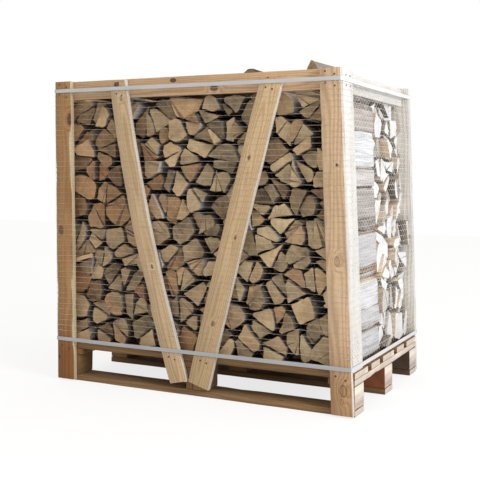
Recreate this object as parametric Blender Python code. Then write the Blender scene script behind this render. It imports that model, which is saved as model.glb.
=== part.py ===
"""Pallet of firewood: split logs in two rows on a wooden pallet, kept in place by a nailed
board crate, a knitted net and two flat straps.

Metres, +Z up.  The front of the crate faces -Y.  The origin is on the ground under the middle
of the pallet.  The crate stands a little out of square: everything above the pallet leans
towards -X, more at the front than at the back.
"""
import math
import random

import bmesh
import bpy
from mathutils import Vector

# Pallet
PALLET_LENGTH = 1.200
PALLET_WIDTH = 0.800
BOARD = 0.022
BLOCK_SIZE = (0.080, 0.098, 0.078)
BOTTOM_BOARD_WIDTH = 0.100
STRINGER_WIDTH = 0.096
DECK_WIDTHS = (0.145, 0.100, 0.145, 0.100, 0.145)

# Crate
CRATE_HEIGHT = 1.170
FRONT_LEAN = 0.034
BACK_LEAN = 0.020
POST_WIDTH = 0.077
POST_FOOT = 0.006
SIDE_BOARD_WIDTH = 0.105
SIDE_BOARD_STEPS = 3
RAIL_HEIGHT = 0.073
SIDE_RAIL_DROP = 0.006
BACK_RAIL_INSET = 0.011

# Braces: top and foot of the centre line as (x, z), width across, and bow sideways
BRACES = {
    "left": ((-0.303, 1.158), (-0.059, 0.047), 0.074, -0.026),
    "right": ((0.343, 1.139), (0.021, 0.043), 0.085, -0.004),
}
BRACE_STEPS = 6

# Net and straps
NET_THICKNESS = 0.0016
NET_BAR = 0.005
NET_BOTTOM = 0.172
NET_TOP = 1.118
NET_RINGS = 9
STRAP_THICKNESS = 0.0012
STRAP_WIDTH = 0.016
STRAP_HEIGHTS = {"strap_lower": 0.159, "strap_upper": 1.132}

# Firewood rows
ROW_TOPS = {"front": 1.104, "back": 1.112}
ROW_SEEDS = {"front": 11, "back": 23}
END_SEEDS = {"front": 31, "back": 41}
ROW_GAP = 0.004
ROW_SIDE_ROOM = 0.002
SIDE_RAIL_ROOM = 0.090
RAIL_ROOM = 0.020
BACK_ROW_INSET = 0.012
BACK_ROW_RECESS = 0.036

# Log ends: spacing of their centres, tried from wide to close, and the sizes of their relief
LOG_SPACING = 0.100
SPACING_TRIES = ((1200, 1.12), (2800, 0.92), (5000, 0.76))
SPACING_SPREAD = (0.82, 1.12)
BORDER_SHARE = 0.36
NEIGHBOUR_REACH = 4.5
LOG_MERGE = 0.024
MIN_SPLIT_AREA = 0.0014
SPLIT_SHARE = 0.80
SPLIT_EVENNESS = (0.6, 1.0)
GROOVE_DEPTH = 0.032
END_SCATTER = 0.026
END_INSET = (0.08, 0.20)
SCALLOP = 0.014
TOP_LOG_LENGTH = 0.368

# Half of the clearance between two pieces that touch
HALF_GAP = 0.00015

HALF_LENGTH = PALLET_LENGTH / 2
HALF_WIDTH = PALLET_WIDTH / 2
BLOCK_TOP = BOARD + BLOCK_SIZE[2]
DECK_BOTTOM = BLOCK_TOP + BOARD
DECK_TOP = DECK_BOTTOM + BOARD
FACE_Y = HALF_WIDTH + BOARD
RAIL_BOTTOM = CRATE_HEIGHT - RAIL_HEIGHT
SIDE_RAIL_BOTTOM = RAIL_BOTTOM - SIDE_RAIL_DROP
ROW_FACE = HALF_WIDTH - ROW_SIDE_ROOM
ROW_INNER = ROW_GAP / 2
BACK_ROW_MIDDLE = (ROW_FACE + ROW_INNER) / 2

WOODS = {
    "pallet_wood": ("#7E6244", 0.85),
    "post_wood_dark": ("#97714D", 0.80),
    "frame_wood": ("#C4A581", 0.78),
    "firewood": ("#9A8364", 0.88),
    "net_yarn": ("#E4E2DC", 0.55),
    "strap_plastic": ("#BFC0CC", 0.35),
}


def linear(hex_colour):
    """An sRGB hex colour as linear RGBA."""
    channels = [int(hex_colour[i : i + 2], 16) / 255 for i in (1, 3, 5)]
    return [c / 12.92 if c <= 0.04045 else ((c + 0.055) / 1.055) ** 2.4 for c in channels] + [1.0]


def material(kind, node_name):
    """A material of one kind of wood, yarn or plastic for one piece."""
    colour, roughness = WOODS[kind]
    made = bpy.data.materials.new(f"{kind}.{node_name}")
    made.use_nodes = True
    shader = made.node_tree.nodes["Principled BSDF"]
    shader.inputs["Base Color"].default_value = linear(colour)
    shader.inputs["Roughness"].default_value = roughness
    shader.inputs["Metallic"].default_value = 0.0
    return made


def leaning(x, y, z):
    """A point of the crate, moved sideways by the crate's lean at its depth."""
    backward = (y + FACE_Y) / (2 * FACE_Y)
    return (x - (FRONT_LEAN + (BACK_LEAN - FRONT_LEAN) * backward) * z, y, z)


def add_piece(name, points, faces, kind):
    """One closed solid as an object of its own."""
    mesh = bpy.data.meshes.new(name)
    mesh.from_pydata(points, [], faces)
    shell = bmesh.new()
    shell.from_mesh(mesh)
    bmesh.ops.recalc_face_normals(shell, faces=shell.faces)
    shell.to_mesh(mesh)
    shell.free()
    mesh.materials.append(material(kind, name))
    piece = bpy.data.objects.new(name, mesh)
    bpy.context.scene.collection.objects.link(piece)
    return piece


def extruded(outline, near, far, place):
    """Points and faces of a prism: outline is (u, v) points, place turns (u, v, depth) to x, y, z."""
    count = len(outline)
    points = [place(u, v, near) for u, v in outline] + [place(u, v, far) for u, v in outline]
    sides = [(i, (i + 1) % count, (i + 1) % count + count, i + count) for i in range(count)]
    return points, sides + [tuple(range(count)), tuple(range(count, 2 * count))]


def board(name, x_range, y_range, z_range, kind, leans=True):
    """A sawn board between nominal faces, a hair smaller so that it clears what it touches."""
    x0, x1 = x_range[0] + HALF_GAP, x_range[1] - HALF_GAP
    y0, y1 = y_range[0] + HALF_GAP, y_range[1] - HALF_GAP
    z0 = z_range[0] + HALF_GAP if z_range[0] > 0 else 0.0
    z1 = z_range[1] - HALF_GAP
    place = (lambda x, z, y: leaning(x, y, z)) if leans else (lambda x, z, y: (x, y, z))
    points, faces = extruded([(x0, z0), (x1, z0), (x1, z1), (x0, z1)], y0, y1, place)
    return add_piece(name, points, faces, kind)


def centred(middle, width):
    return (middle - width / 2, middle + width / 2)


# Pallet ---------------------------------------------------------------------------------------


def build_pallet():
    """Three bottom boards, nine blocks, three stringers and five deck boards."""
    block_x = HALF_LENGTH - BLOCK_SIZE[0] / 2
    block_y = HALF_WIDTH - BLOCK_SIZE[1] / 2
    board_y = HALF_WIDTH - BOTTOM_BOARD_WIDTH / 2
    rows = {"front": -1, "middle": 0, "back": 1}
    columns = {"left": -1, "centre": 0, "right": 1}
    whole_length = (-HALF_LENGTH, HALF_LENGTH)
    for row, side in rows.items():
        y_range = centred(side * board_y, BOTTOM_BOARD_WIDTH)
        board(f"bottom_board_{row}", whole_length, y_range, (0.0, BOARD), "pallet_wood", leans=False)
        for column, end in columns.items():
            board(
                f"block_{row}_{column}",
                centred(end * block_x, BLOCK_SIZE[0]),
                centred(side * block_y, BLOCK_SIZE[1]),
                (BOARD, BLOCK_TOP),
                "pallet_wood",
                leans=False,
            )
    stringer_x = HALF_LENGTH - STRINGER_WIDTH / 2
    for column, end in columns.items():
        x_range = centred(end * stringer_x, STRINGER_WIDTH)
        y_range = (-HALF_WIDTH, HALF_WIDTH)
        board(f"stringer_{column}", x_range, y_range, (BLOCK_TOP, DECK_BOTTOM), "pallet_wood", leans=False)
    gap = (PALLET_WIDTH - sum(DECK_WIDTHS)) / (len(DECK_WIDTHS) - 1)
    y = -HALF_WIDTH
    for number, width in enumerate(DECK_WIDTHS, 1):
        z_range = (DECK_BOTTOM, DECK_TOP)
        board(f"deck_board_{number}", whole_length, (y, y + width), z_range, "pallet_wood", leans=False)
        y += width + gap


# Crate ----------------------------------------------------------------------------------------


def build_post(face, side):
    """A corner post outside the pallet's long edge."""
    face_sign = -1 if face == "front" else 1
    side_sign = -1 if side == "left" else 1
    kind = "post_wood_dark" if (face, side) == ("front", "left") else "frame_wood"
    post_x = sorted((side_sign * HALF_LENGTH, side_sign * (HALF_LENGTH - POST_WIDTH)))
    post_y = sorted((face_sign * HALF_WIDTH, face_sign * FACE_Y))
    board(f"post_{face}_{side}", post_x, post_y, (POST_FOOT, CRATE_HEIGHT), kind)


def build_side_board(side):
    """The board behind a front post, on the deck; cut into steps because the crate's lean twists it."""
    sign = -1 if side == "left" else 1
    outside = sign * (HALF_LENGTH - HALF_GAP)
    inside = sign * (HALF_LENGTH - BOARD + HALF_GAP)
    low, high = DECK_TOP + HALF_GAP, CRATE_HEIGHT - HALF_GAP
    steps = [low + (high - low) * step / SIDE_BOARD_STEPS for step in range(SIDE_BOARD_STEPS + 1)]
    outline = [(outside, z) for z in steps] + [(inside, z) for z in reversed(steps)]
    near = -HALF_WIDTH + HALF_GAP
    far = -HALF_WIDTH + SIDE_BOARD_WIDTH - HALF_GAP
    points, faces = extruded(outline, near, far, lambda x, z, y: leaning(x, y, z))
    add_piece(f"side_board_{side}", points, faces, "frame_wood")


def build_rails():
    """Four top rails: the side rails run between the front and the back rail."""
    inside_x = HALF_LENGTH - BOARD
    inside_y = HALF_WIDTH - BOARD
    for face, sign, reach in (("front", -1, inside_x), ("back", 1, inside_x - BACK_RAIL_INSET)):
        y_range = sorted((sign * HALF_WIDTH, sign * inside_y))
        board(f"rail_{face}", (-reach, reach), y_range, (RAIL_BOTTOM, CRATE_HEIGHT), "frame_wood")
    side_z = (SIDE_RAIL_BOTTOM, CRATE_HEIGHT - SIDE_RAIL_DROP)
    for side, sign in (("left", -1), ("right", 1)):
        x_range = sorted((sign * inside_x, sign * (inside_x - BOARD)))
        board(f"rail_{side}", x_range, (-inside_y, inside_y), side_z, "frame_wood")


def brace_outline(top, foot, width, bow):
    """Outline in x and z of a board with square ends whose middle is pushed sideways by bow."""
    along = (Vector(foot) - Vector(top)).normalized()
    across = Vector((-along.y, along.x)) * (width / 2)
    edges = ([], [])
    for step in range(BRACE_STEPS + 1):
        t = step / BRACE_STEPS
        middle = Vector(top).lerp(Vector(foot), t) + Vector((bow * 4 * t * (1 - t), 0.0))
        edges[0].append(tuple(middle + across))
        edges[1].append(tuple(middle - across))
    return edges[0] + edges[1][::-1]


def build_braces():
    """Two braces on each long face, in the plane of the posts; the back's V is the front's turned round."""
    for face, sign in (("front", 1), ("back", -1)):
        for side, (top, foot, width, bow) in BRACES.items():
            outline = brace_outline(top, foot, width, bow)
            near, far = -FACE_Y + HALF_GAP, -HALF_WIDTH - HALF_GAP
            points, faces = extruded(
                outline, near, far, lambda x, z, y: leaning(sign * x, sign * y, z)
            )
            add_piece(f"brace_{face}_{side}", points, faces, "frame_wood")


# Wrap -----------------------------------------------------------------------------------------


def build_straps():
    """Two flat straps as closed rings around the posts and the net."""
    inner = NET_THICKNESS + HALF_GAP
    outer = NET_THICKNESS + STRAP_THICKNESS - HALF_GAP
    corners = ((-1, -1), (1, -1), (1, 1), (-1, 1))
    for name, middle in STRAP_HEIGHTS.items():
        points = []
        for reach, z in (
            (inner, middle - STRAP_WIDTH / 2),
            (outer, middle - STRAP_WIDTH / 2),
            (outer, middle + STRAP_WIDTH / 2),
            (inner, middle + STRAP_WIDTH / 2),
        ):
            points += [leaning(i * (HALF_LENGTH + reach), j * (FACE_Y + reach), z) for i, j in corners]
        faces = []
        for ring in range(4):
            for corner in range(4):
                here, there = 4 * ring, 4 * ((ring + 1) % 4)
                following = (corner + 1) % 4
                faces.append((here + corner, here + following, there + following, there + corner))
        add_piece(name, points, faces, "strap_plastic")


def net_lines():
    """The net's upright lines as (x, y) around the crate, and which stretches are upright bars."""
    half_x, half_y = HALF_LENGTH, FACE_Y
    legs = (
        ((-half_x, -half_y), (half_x, -half_y), 2),
        ((half_x, -half_y), (half_x, half_y), 1),
        ((half_x, half_y), (-half_x, half_y), 2),
        ((-half_x, half_y), (-half_x, -half_y), 1),
    )
    lines, upright = [], []
    for start, end, windows in legs:
        start, end = Vector(start), Vector(end)
        length = (end - start).length
        stops = [0.0, NET_BAR]
        for window in range(1, windows):
            middle = length * window / windows
            stops += [middle - NET_BAR / 2, middle + NET_BAR / 2]
        stops.append(length - NET_BAR)
        lines += [tuple(start.lerp(end, stop / length)) for stop in stops]
        upright += [index % 2 == 0 for index in range(len(stops) - 1)] + [True]
    return lines, upright


def build_net():
    """The net as a thin wrap of level rings joined by upright bars, open between them."""
    lines, upright = net_lines()
    reach = NET_THICKNESS - HALF_GAP
    around = len(lines)
    pitch = (NET_TOP - NET_BOTTOM - NET_BAR) / (NET_RINGS - 1)
    levels = []
    for ring in range(NET_RINGS):
        levels += [NET_BOTTOM + ring * pitch, NET_BOTTOM + ring * pitch + NET_BAR]
    points = []
    for z in levels:
        for x, y in lines:
            out_x = x * (HALF_LENGTH + reach) / HALF_LENGTH
            out_y = y * (FACE_Y + reach) / FACE_Y
            points.append(leaning(out_x, out_y, z))
    faces = []
    for level in range(len(levels) - 1):
        ring_band = level % 2 == 0
        for line in range(around):
            if ring_band or upright[line]:
                here, there = level * around, (level + 1) * around
                following = (line + 1) % around
                faces.append((here + line, here + following, there + following, there + line))
    mesh = bpy.data.meshes.new("net")
    mesh.from_pydata(points, [], faces)
    mesh.materials.append(material("net_yarn", "net"))
    net = bpy.data.objects.new("net", mesh)
    bpy.context.scene.collection.objects.link(net)
    walls = net.modifiers.new("wall", "SOLIDIFY")
    walls.thickness = NET_THICKNESS - 2 * HALF_GAP
    walls.offset = -1.0
    walls.use_even_offset = True


# Firewood -------------------------------------------------------------------------------------


def clip_polygon(polygon, middle, away):
    """The part of a polygon on the near side of the line through middle, square to away."""
    kept = []
    for index, end in enumerate(polygon):
        start = polygon[index - 1]
        depth_start = (start - middle).dot(away)
        depth_end = (end - middle).dot(away)
        if (depth_start > 0) != (depth_end > 0):
            kept.append(start.lerp(end, depth_start / (depth_start - depth_end)))
        if depth_end <= 0:
            kept.append(end)
    return kept


def scatter(low, high, spacing, rng):
    """Log centres thrown at random, none nearer to another than its own random spacing."""
    centres = []
    for tries, share in SPACING_TRIES:
        for _ in range(tries):
            reach = spacing * share * rng.uniform(*SPACING_SPREAD)
            here = Vector((rng.uniform(low[0], high[0]), rng.uniform(low[1], high[1])))
            edge = min(here.x - low[0], high[0] - here.x, here.y - low[1], high[1] - here.y)
            if edge > spacing * BORDER_SHARE and all((here - other).length > reach for other in centres):
                centres.append(here)
    return centres


def log_cells(low, high, spacing, rng):
    """The region between low and high cut into cells, one around each log centre."""
    centres = scatter(low, high, spacing, rng)
    frame = [Vector(low), Vector((high[0], low[1])), Vector(high), Vector((low[0], high[1]))]
    cells = []
    for centre in centres:
        cell = frame
        for other in centres:
            if other is not centre and (other - centre).length < NEIGHBOUR_REACH * spacing:
                cell = clip_polygon(cell, (centre + other) / 2, other - centre)
        cells.append(cell)
    return cells, frame


def shared_points(cells, frame, low, high):
    """The cells as loops of numbers of shared points, with short edges closed up."""

    def on_border(point):
        return min(point.x - low[0], high[0] - point.x, point.y - low[1], high[1] - point.y) < 1e-6

    corners = [point for cell in cells for point in cell]
    ordered = frame + [p for p in corners if on_border(p)] + [p for p in corners if not on_border(p)]
    points = []
    for point in ordered:
        if all((point - other).length > LOG_MERGE for other in points):
            points.append(point)
    loops = []
    for cell in cells:
        loop = []
        for corner in cell:
            nearest = min(range(len(points)), key=lambda index: (points[index] - corner).length)
            if nearest not in loop:
                loop.append(nearest)
        if len(loop) > 2:
            loops.append(loop)
    return points, loops


def polygon_area(polygon):
    doubled = 0.0
    for index, point in enumerate(polygon):
        previous = polygon[index - 1]
        doubled += previous[0] * point[1] - point[0] * previous[1]
    return doubled / 2


def split_loops(points, loops, share, rng):
    """Some of the larger cells parted from corner to corner, as a round is split into wedges."""
    parted = []
    for loop in loops:
        choices = []
        for start in range(len(loop)):
            for step in (2, 3):
                first = [loop[(start + k) % len(loop)] for k in range(step + 1)]
                second = [loop[(start + step + k) % len(loop)] for k in range(len(loop) - step + 1)]
                if len(second) < 3:
                    continue
                halves = [polygon_area([points[k] for k in half]) for half in (first, second)]
                if min(halves) > MIN_SPLIT_AREA:
                    choices.append((min(halves) * rng.uniform(*SPLIT_EVENNESS), first, second))
        if choices and rng.random() < share:
            best = max(choices, key=lambda choice: choice[0])
            parted += [best[1], best[2]]
        else:
            parted.append(loop)
    return parted


def border_edges(loops):
    """The edges that only one loop has, as a dictionary from start to end."""
    seen = {}
    for loop in loops:
        for index, end in enumerate(loop):
            start = loop[index - 1]
            key = (min(start, end), max(start, end))
            seen.setdefault(key, []).append((start, end))
    return dict(edges[0] for edges in seen.values() if len(edges) == 1)


def round_border(points, loops, low, high):
    """The border in shallow humps, one to a log, and the ordered outline that it makes."""
    following = border_edges(loops)
    crowns = {}
    for start, end in following.items():
        crowns[(start, end)] = len(points)
        points.append((points[start] + points[end]) / 2)
    for start in following:
        point = points[start]
        inward = Vector((0.0, 0.0))
        inward.x += (point.x - low[0] < 1e-6) - (high[0] - point.x < 1e-6)
        inward.y += (point.y - low[1] < 1e-6) - (high[1] - point.y < 1e-6)
        points[start] = point + inward * SCALLOP
    humped = []
    for loop in loops:
        new_loop = []
        for index, end in enumerate(loop):
            start = loop[index - 1]
            if (start, end) in crowns:
                new_loop.append(crowns[(start, end)])
            new_loop.append(end)
        humped.append(new_loop)
    first = next(iter(following))
    outline, here = [], first
    while True:
        outline += [here, crowns[(here, following[here])]]
        here = following[here]
        if here == first:
            return humped, outline


def row_pattern(row, half):
    """Log ends of one row as points, loops and outline; a row is narrower between the rails."""
    low, high = (-half, DECK_TOP + 2 * HALF_GAP), (half, ROW_TOPS[row])
    rng = random.Random(ROW_SEEDS[row])
    cells, frame = log_cells(low, high, LOG_SPACING, rng)
    points, loops = shared_points(cells, frame, low, high)
    loops = split_loops(points, loops, SPLIT_SHARE, rng)
    loops, outline = round_border(points, loops, low, high)
    room = half - BOARD
    for index in outline:
        point = points[index]
        if point.y > SIDE_RAIL_BOTTOM - SIDE_RAIL_ROOM:
            points[index] = Vector((max(-room, min(room, point.x)), point.y))
    return points, loops, outline


def add_log_ends(loops, points, groove, caps, place, verts, faces):
    """Log ends on one side of a row: each loop a raised cap with sloping sides down to the groove."""
    base = len(verts)
    verts += [place(point.x, point.y, groove) for point in points]
    for loop, (cap, inset) in zip(loops, caps):
        centre = sum((points[k] for k in loop), Vector((0.0, 0.0))) / len(loop)
        first = len(verts)
        for k in loop:
            corner = points[k].lerp(centre, inset)
            verts.append(place(corner.x, corner.y, cap))
        count = len(loop)
        faces.append(tuple(range(first, first + count)))
        for index in range(count):
            following = (index + 1) % count
            low_here, low_there = base + loop[index], base + loop[following]
            faces.append((low_here, low_there, first + following, first + index))
    return base


def build_row(row, pattern, reach, place, recess, both_ends):
    """A row of logs as one solid: log ends in relief on its near side, or on both sides."""
    points, loops, outline = pattern
    rng = random.Random(END_SEEDS[row])
    near, far = reach
    verts, faces = [], []

    def caps_from(face_depth, sign):
        """Depth and inset of each log end, further in where the rails are in front of it."""
        caps = []
        for loop in loops:
            beside_rail = max(points[k].y for k in loop) > SIDE_RAIL_BOTTOM - RAIL_ROOM
            deep = recess if beside_rail else 0.0
            depth = face_depth + sign * (deep + rng.uniform(0.0, END_SCATTER))
            caps.append((depth, rng.uniform(*END_INSET)))
        return caps

    groove = near + recess + GROOVE_DEPTH
    near_caps = caps_from(near, 1)
    near_base = add_log_ends(loops, points, groove, near_caps, place, verts, faces)
    near_rim = [near_base + k for k in outline]
    if both_ends:
        groove = far - recess - GROOVE_DEPTH
        far_caps = caps_from(far, -1)
        far_base = add_log_ends(loops, points, groove, far_caps, place, verts, faces)
        far_rim = [far_base + k for k in outline]
    else:
        far_rim = list(range(len(verts), len(verts) + len(outline)))
        verts += [place(points[k].x, points[k].y, far) for k in outline]
        faces.append(tuple(far_rim))
    for index in range(len(outline)):
        before = index - 1
        faces.append((near_rim[before], near_rim[index], far_rim[index], far_rim[before]))
    add_piece(f"firewood_{row}_row", verts, faces, "firewood")


def top_height(pattern, start, end):
    """The highest point of a row's outline between two places along it."""
    points, _, outline = pattern
    highest = 0.0
    for index, number in enumerate(outline):
        a, b = points[outline[index - 1]], points[number]
        left, right = min(a.x, b.x), max(a.x, b.x)
        if right < start or left > end:
            continue
        for u in (max(start, left), min(end, right)):
            t = (u - a.x) / (b.x - a.x) if abs(b.x - a.x) > 1e-9 else 1.0
            highest = max(highest, a.lerp(b, t).y)
    return highest


def build_rows():
    """The front row with its log ends to the front, and the back row with log ends to both sides."""
    patterns = {
        "front": row_pattern("front", HALF_LENGTH - BOARD - ROW_SIDE_ROOM),
        "back": row_pattern("back", (ROW_FACE - ROW_INNER) / 2),
    }

    def across(u, v, depth):
        return leaning(u, depth, v)

    def lengthwise(u, v, depth):
        return leaning(depth, BACK_ROW_MIDDLE + u, v)

    recess = BOARD + ROW_SIDE_ROOM
    build_row("front", patterns["front"], (-ROW_FACE, -ROW_INNER), across, recess, both_ends=False)
    reach = HALF_LENGTH - BACK_ROW_INSET
    build_row("back", patterns["back"], (-reach, reach), lengthwise, BACK_ROW_RECESS, both_ends=True)
    return patterns


def arc(radius, start, end, steps, middle=(0.0, 0.0)):
    """Points on a round stretch between two angles in degrees."""
    angles = [math.radians(start + (end - start) * k / steps) for k in range(steps + 1)]
    return [(middle[0] + radius * math.cos(a), middle[1] + radius * math.sin(a)) for a in angles]


def wedge(radius, angle):
    """A split wedge on one flat side: the pith corner, and bark from the ground up."""
    return [(-radius / 2, 0.0)] + arc(radius, 0, angle, 5, (-radius / 2, 0.0))


def ridge(width, height):
    """A split wedge on its bark side, pith corner up."""
    return [(-width / 2, 0.008), (-width / 4, 0.0), (width / 4, 0.0), (width / 2, 0.010), (-0.004, height)]


def half_round(radius, squash):
    """Half a round on its flat side."""
    return [(x, y * squash) for x, y in arc(radius, 0, 180, 7)]


def billet(width, height):
    """A squarish split piece with one bark corner."""
    flat = [(-width / 2, 0.0), (width / 2, 0.003), (width / 2 - 0.008, height * 0.62)]
    return flat + [(width * 0.2, height * 0.93), (-width * 0.08, height), (-width * 0.46, height * 0.8)]


# Loose logs on top: x, y, turn in degrees from front to back, section, its two sizes
TOP_LOGS = (
    (0.486, -0.186, -1.5, ridge, 0.118, 0.104),
    (0.227, -0.184, 4, half_round, 0.052, 1.62),
    (0.090, -0.186, -4, wedge, 0.088, 42),
    (-0.052, -0.184, -7, billet, 0.098, 0.062),
    (-0.241, -0.186, 5, half_round, 0.060, 0.95),
    (-0.461, -0.184, 8, wedge, 0.092, 44),
    (0.300, 0.096, 88, wedge, 0.096, 62),
    (-0.150, 0.104, 93, half_round, 0.062, 1.10),
    (0.086, 0.268, 92, ridge, 0.112, 0.086),
    (-0.345, 0.262, 87, billet, 0.104, 0.080),
)


def build_top_logs(patterns):
    """Loose wedges lying on the rows, each on the highest logs under it."""
    for number, (x, y, turn, shape, *sizes) in enumerate(TOP_LOGS, 1):
        section = shape(*sizes)
        turned = math.radians(turn)
        along = Vector((-math.sin(turned), math.cos(turned)))
        across = Vector((math.cos(turned), math.sin(turned)))
        ends = [
            Vector((x, y)) + across * u + along * end * TOP_LOG_LENGTH / 2
            for u in (min(u for u, _ in section), max(u for u, _ in section))
            for end in (-1, 1)
        ]
        x_range = (min(p.x for p in ends), max(p.x for p in ends))
        y_range = (min(p.y for p in ends), max(p.y for p in ends))
        heights = []
        if y_range[0] < 0:
            heights.append(top_height(patterns["front"], *x_range))
        if y_range[1] > 0:
            from_middle = [y - BACK_ROW_MIDDLE for y in y_range]
            heights.append(top_height(patterns["back"], *from_middle))
        base = max(heights) + 2 * HALF_GAP

        def place(u, v, depth):
            spot = Vector((x, y)) + across * u + along * depth
            return leaning(spot.x, spot.y, base + v)

        points, faces = extruded(section, -TOP_LOG_LENGTH / 2, TOP_LOG_LENGTH / 2, place)
        add_piece(f"top_log_{number:02d}", points, faces, "firewood")


def main():
    for thing in list(bpy.data.objects):
        bpy.data.objects.remove(thing, do_unlink=True)
    build_pallet()
    for side in ("left", "right"):
        build_post("front", side)
        build_post("back", side)
        build_side_board(side)
    build_rails()
    build_braces()
    build_straps()
    build_net()
    build_top_logs(build_rows())


main()
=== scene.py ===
"""Pallet of firewood: the looks of its sawn boards, split logs, knitted net, straps and nails."""
import math
import random

import bmesh
import bpy
from bpy.props import FloatProperty, FloatVectorProperty, IntProperty, PointerProperty
from mathutils import Matrix, Vector, noise


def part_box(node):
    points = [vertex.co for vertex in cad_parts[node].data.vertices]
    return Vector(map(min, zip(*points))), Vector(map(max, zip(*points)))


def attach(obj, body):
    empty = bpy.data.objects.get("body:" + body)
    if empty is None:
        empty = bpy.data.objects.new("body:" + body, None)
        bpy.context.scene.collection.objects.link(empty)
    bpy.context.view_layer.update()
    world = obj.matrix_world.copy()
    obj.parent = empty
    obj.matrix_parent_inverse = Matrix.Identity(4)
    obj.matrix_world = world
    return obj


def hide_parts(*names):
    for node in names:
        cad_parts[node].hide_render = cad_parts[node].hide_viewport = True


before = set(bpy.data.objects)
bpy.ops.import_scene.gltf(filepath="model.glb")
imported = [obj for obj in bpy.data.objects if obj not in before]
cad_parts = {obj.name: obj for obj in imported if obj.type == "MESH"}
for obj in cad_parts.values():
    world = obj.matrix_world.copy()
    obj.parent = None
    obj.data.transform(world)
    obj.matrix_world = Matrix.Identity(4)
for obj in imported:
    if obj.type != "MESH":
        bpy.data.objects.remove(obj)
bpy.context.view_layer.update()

bl_info = {
    "name": "Pallet of firewood",
    "version": (1, 0, 0),
    "blender": (4, 5, 0),
    "location": "3D View > Sidebar > Firewood",
    "description": "Sawn boards, split logs, knitted net, straps and nails of a crate of firewood",
    "category": "Object",
}

BODY = "root"


def colour(hex_colour):
    """An sRGB hex colour as linear RGBA."""
    channels = [int(hex_colour[i : i + 2], 16) / 255 for i in (1, 3, 5)]
    return [c / 12.92 if c <= 0.04045 else ((c + 0.055) / 1.055) ** 2.4 for c in channels] + [1.0]


# Settings -------------------------------------------------------------------------------------


def length(name, description, default, low, high):
    """A setting in metres."""
    limits = {"default": default, "min": low, "max": high}
    return FloatProperty(name=name, description=description, subtype="DISTANCE", unit="LENGTH", **limits)


def paint(name, description, default):
    """A setting that is a colour, by default an sRGB hex colour."""
    limits = {"default": colour(default), "size": 4, "min": 0.0, "max": 1.0}
    return FloatVectorProperty(name=name, description=description, subtype="COLOR", **limits)


class BoardSettings(bpy.types.PropertyGroup):
    """Sawn boards of the pallet and the crate."""

    edge: length("Eased edge", "Radius that handling gives a sawn edge", 0.0022, 0.0005, 0.006)
    roughness: length("Unevenness", "Depth of the hollows that the saw leaves in a face", 0.0008, 0.0, 0.003)
    ring_width: length("Growth ring", "Width of one growth ring of fast-grown spruce", 0.0065, 0.002, 0.012)
    pallet: paint("Pallet wood", "Colour of the used, weathered pallet boards", "#906E47")
    dark_post: paint("Heartwood post", "Colour of the orange-brown corner post", "#A97B48")
    crate: paint("Crate wood", "Colour of the newer boards of the crate", "#CDAC87")
    # Painted side light: this pale colour goes on the boards of the lit right side and the back right post;
    # the left side's boards are crate wood
    sides: paint("Pale side wood", "Colour of the pale sapwood boards on the short sides", "#D8D3C8")


class LogSettings(bpy.types.PropertyGroup):
    """Split logs."""

    seed: IntProperty(name="Seed", description="Changes how the logs are split", default=7, min=0)
    gap: length("Gap", "Room left round each log in its cell", 0.0044, 0.0, 0.02)
    depth: length("Ends out of line", "How much further in some ends lie than others", 0.022, 0.0, 0.05)
    bark: length("Bark", "Thickness of the bark", 0.0035, 0.001, 0.01)
    tilt: FloatProperty(
        name="Saw cut", description="Largest slant of a sawn end",
        default=0.12, min=0.0, max=0.3, subtype="ANGLE", unit="ROTATION",
    )
    end: paint("End grain", "Colour of a dry sawn end", "#B49E7A")
    heart: paint("Warm end grain", "Colour of a sawn end of reddish wood", "#9C7048")
    split: paint("Split face", "Colour of a freshly split face", "#CCB698")
    rind: paint("Bark", "Colour of the bark between its cracks", "#948A80")


class NetSettings(bpy.types.PropertyGroup):
    """Knitted net wound round the crate."""

    course: length("Course", "Height from one level chain of stitches to the next", 0.0205, 0.01, 0.1)
    tie: length("Tie", "Length along a chain that one zigzag yarn takes", 0.030, 0.01, 0.1)
    yarn: length("Chain width", "Width of a chain of stitches", 0.0012, 0.0005, 0.004)
    slack: length("Slack", "How far a chain wanders up and down", 0.0035, 0.0, 0.01)
    tint: paint("Yarn", "Colour of the yarn", "#EDECE9")


class StrapSettings(bpy.types.PropertyGroup):
    """Flat plastic straps."""

    bend: length("Bend", "Radius of a strap's bend round a post's edge", 0.004, 0.001, 0.01)
    tint: paint("Strap", "Colour of the strap", "#B5B5B7")


class NailSettings(bpy.types.PropertyGroup):
    """Nail heads."""

    head: length("Head", "Diameter of a nail's head", 0.0065, 0.003, 0.012)


class StageSettings(bpy.types.PropertyGroup):
    """Floor, light and camera."""

    fill: FloatProperty(
        name="Fill", description="Strength of the even light from all round", default=0.86, min=0.0
    )
    key: FloatProperty(
        name="Key", description="Strength of the soft light from the right", default=1.6, min=0.0
    )


SETTINGS = {
    "firewood_boards": BoardSettings,
    "firewood_logs": LogSettings,
    "firewood_net": NetSettings,
    "firewood_straps": StrapSettings,
    "firewood_nails": NailSettings,
    "firewood_stage": StageSettings,
}


# Meshes ---------------------------------------------------------------------------------------


def placed(name, data):
    """A new object in the scene."""
    made = bpy.data.objects.new(name, data)
    bpy.context.scene.collection.objects.link(made)
    return made


def mark(mesh, key, values):
    """Gives each point of a mesh a number or a vector."""
    plain = isinstance(values[0], float)
    layer = mesh.attributes.new(key, "FLOAT" if plain else "FLOAT_VECTOR", "POINT")
    numbers = values if plain else [number for value in values for number in value]
    layer.data.foreach_set("value" if plain else "vector", numbers)


def ring_quads(rings, around, base=0, closed=False):
    """The faces between rings of points that follow each other, back to the first ring if closed."""
    quads = []
    for ring in range(rings if closed else rings - 1):
        here, there = base + ring * around, base + (ring + 1) % rings * around
        for k in range(around):
            after = (k + 1) % around
            quads.append((here + k, here + after, there + after, there + k))
    return quads


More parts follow.
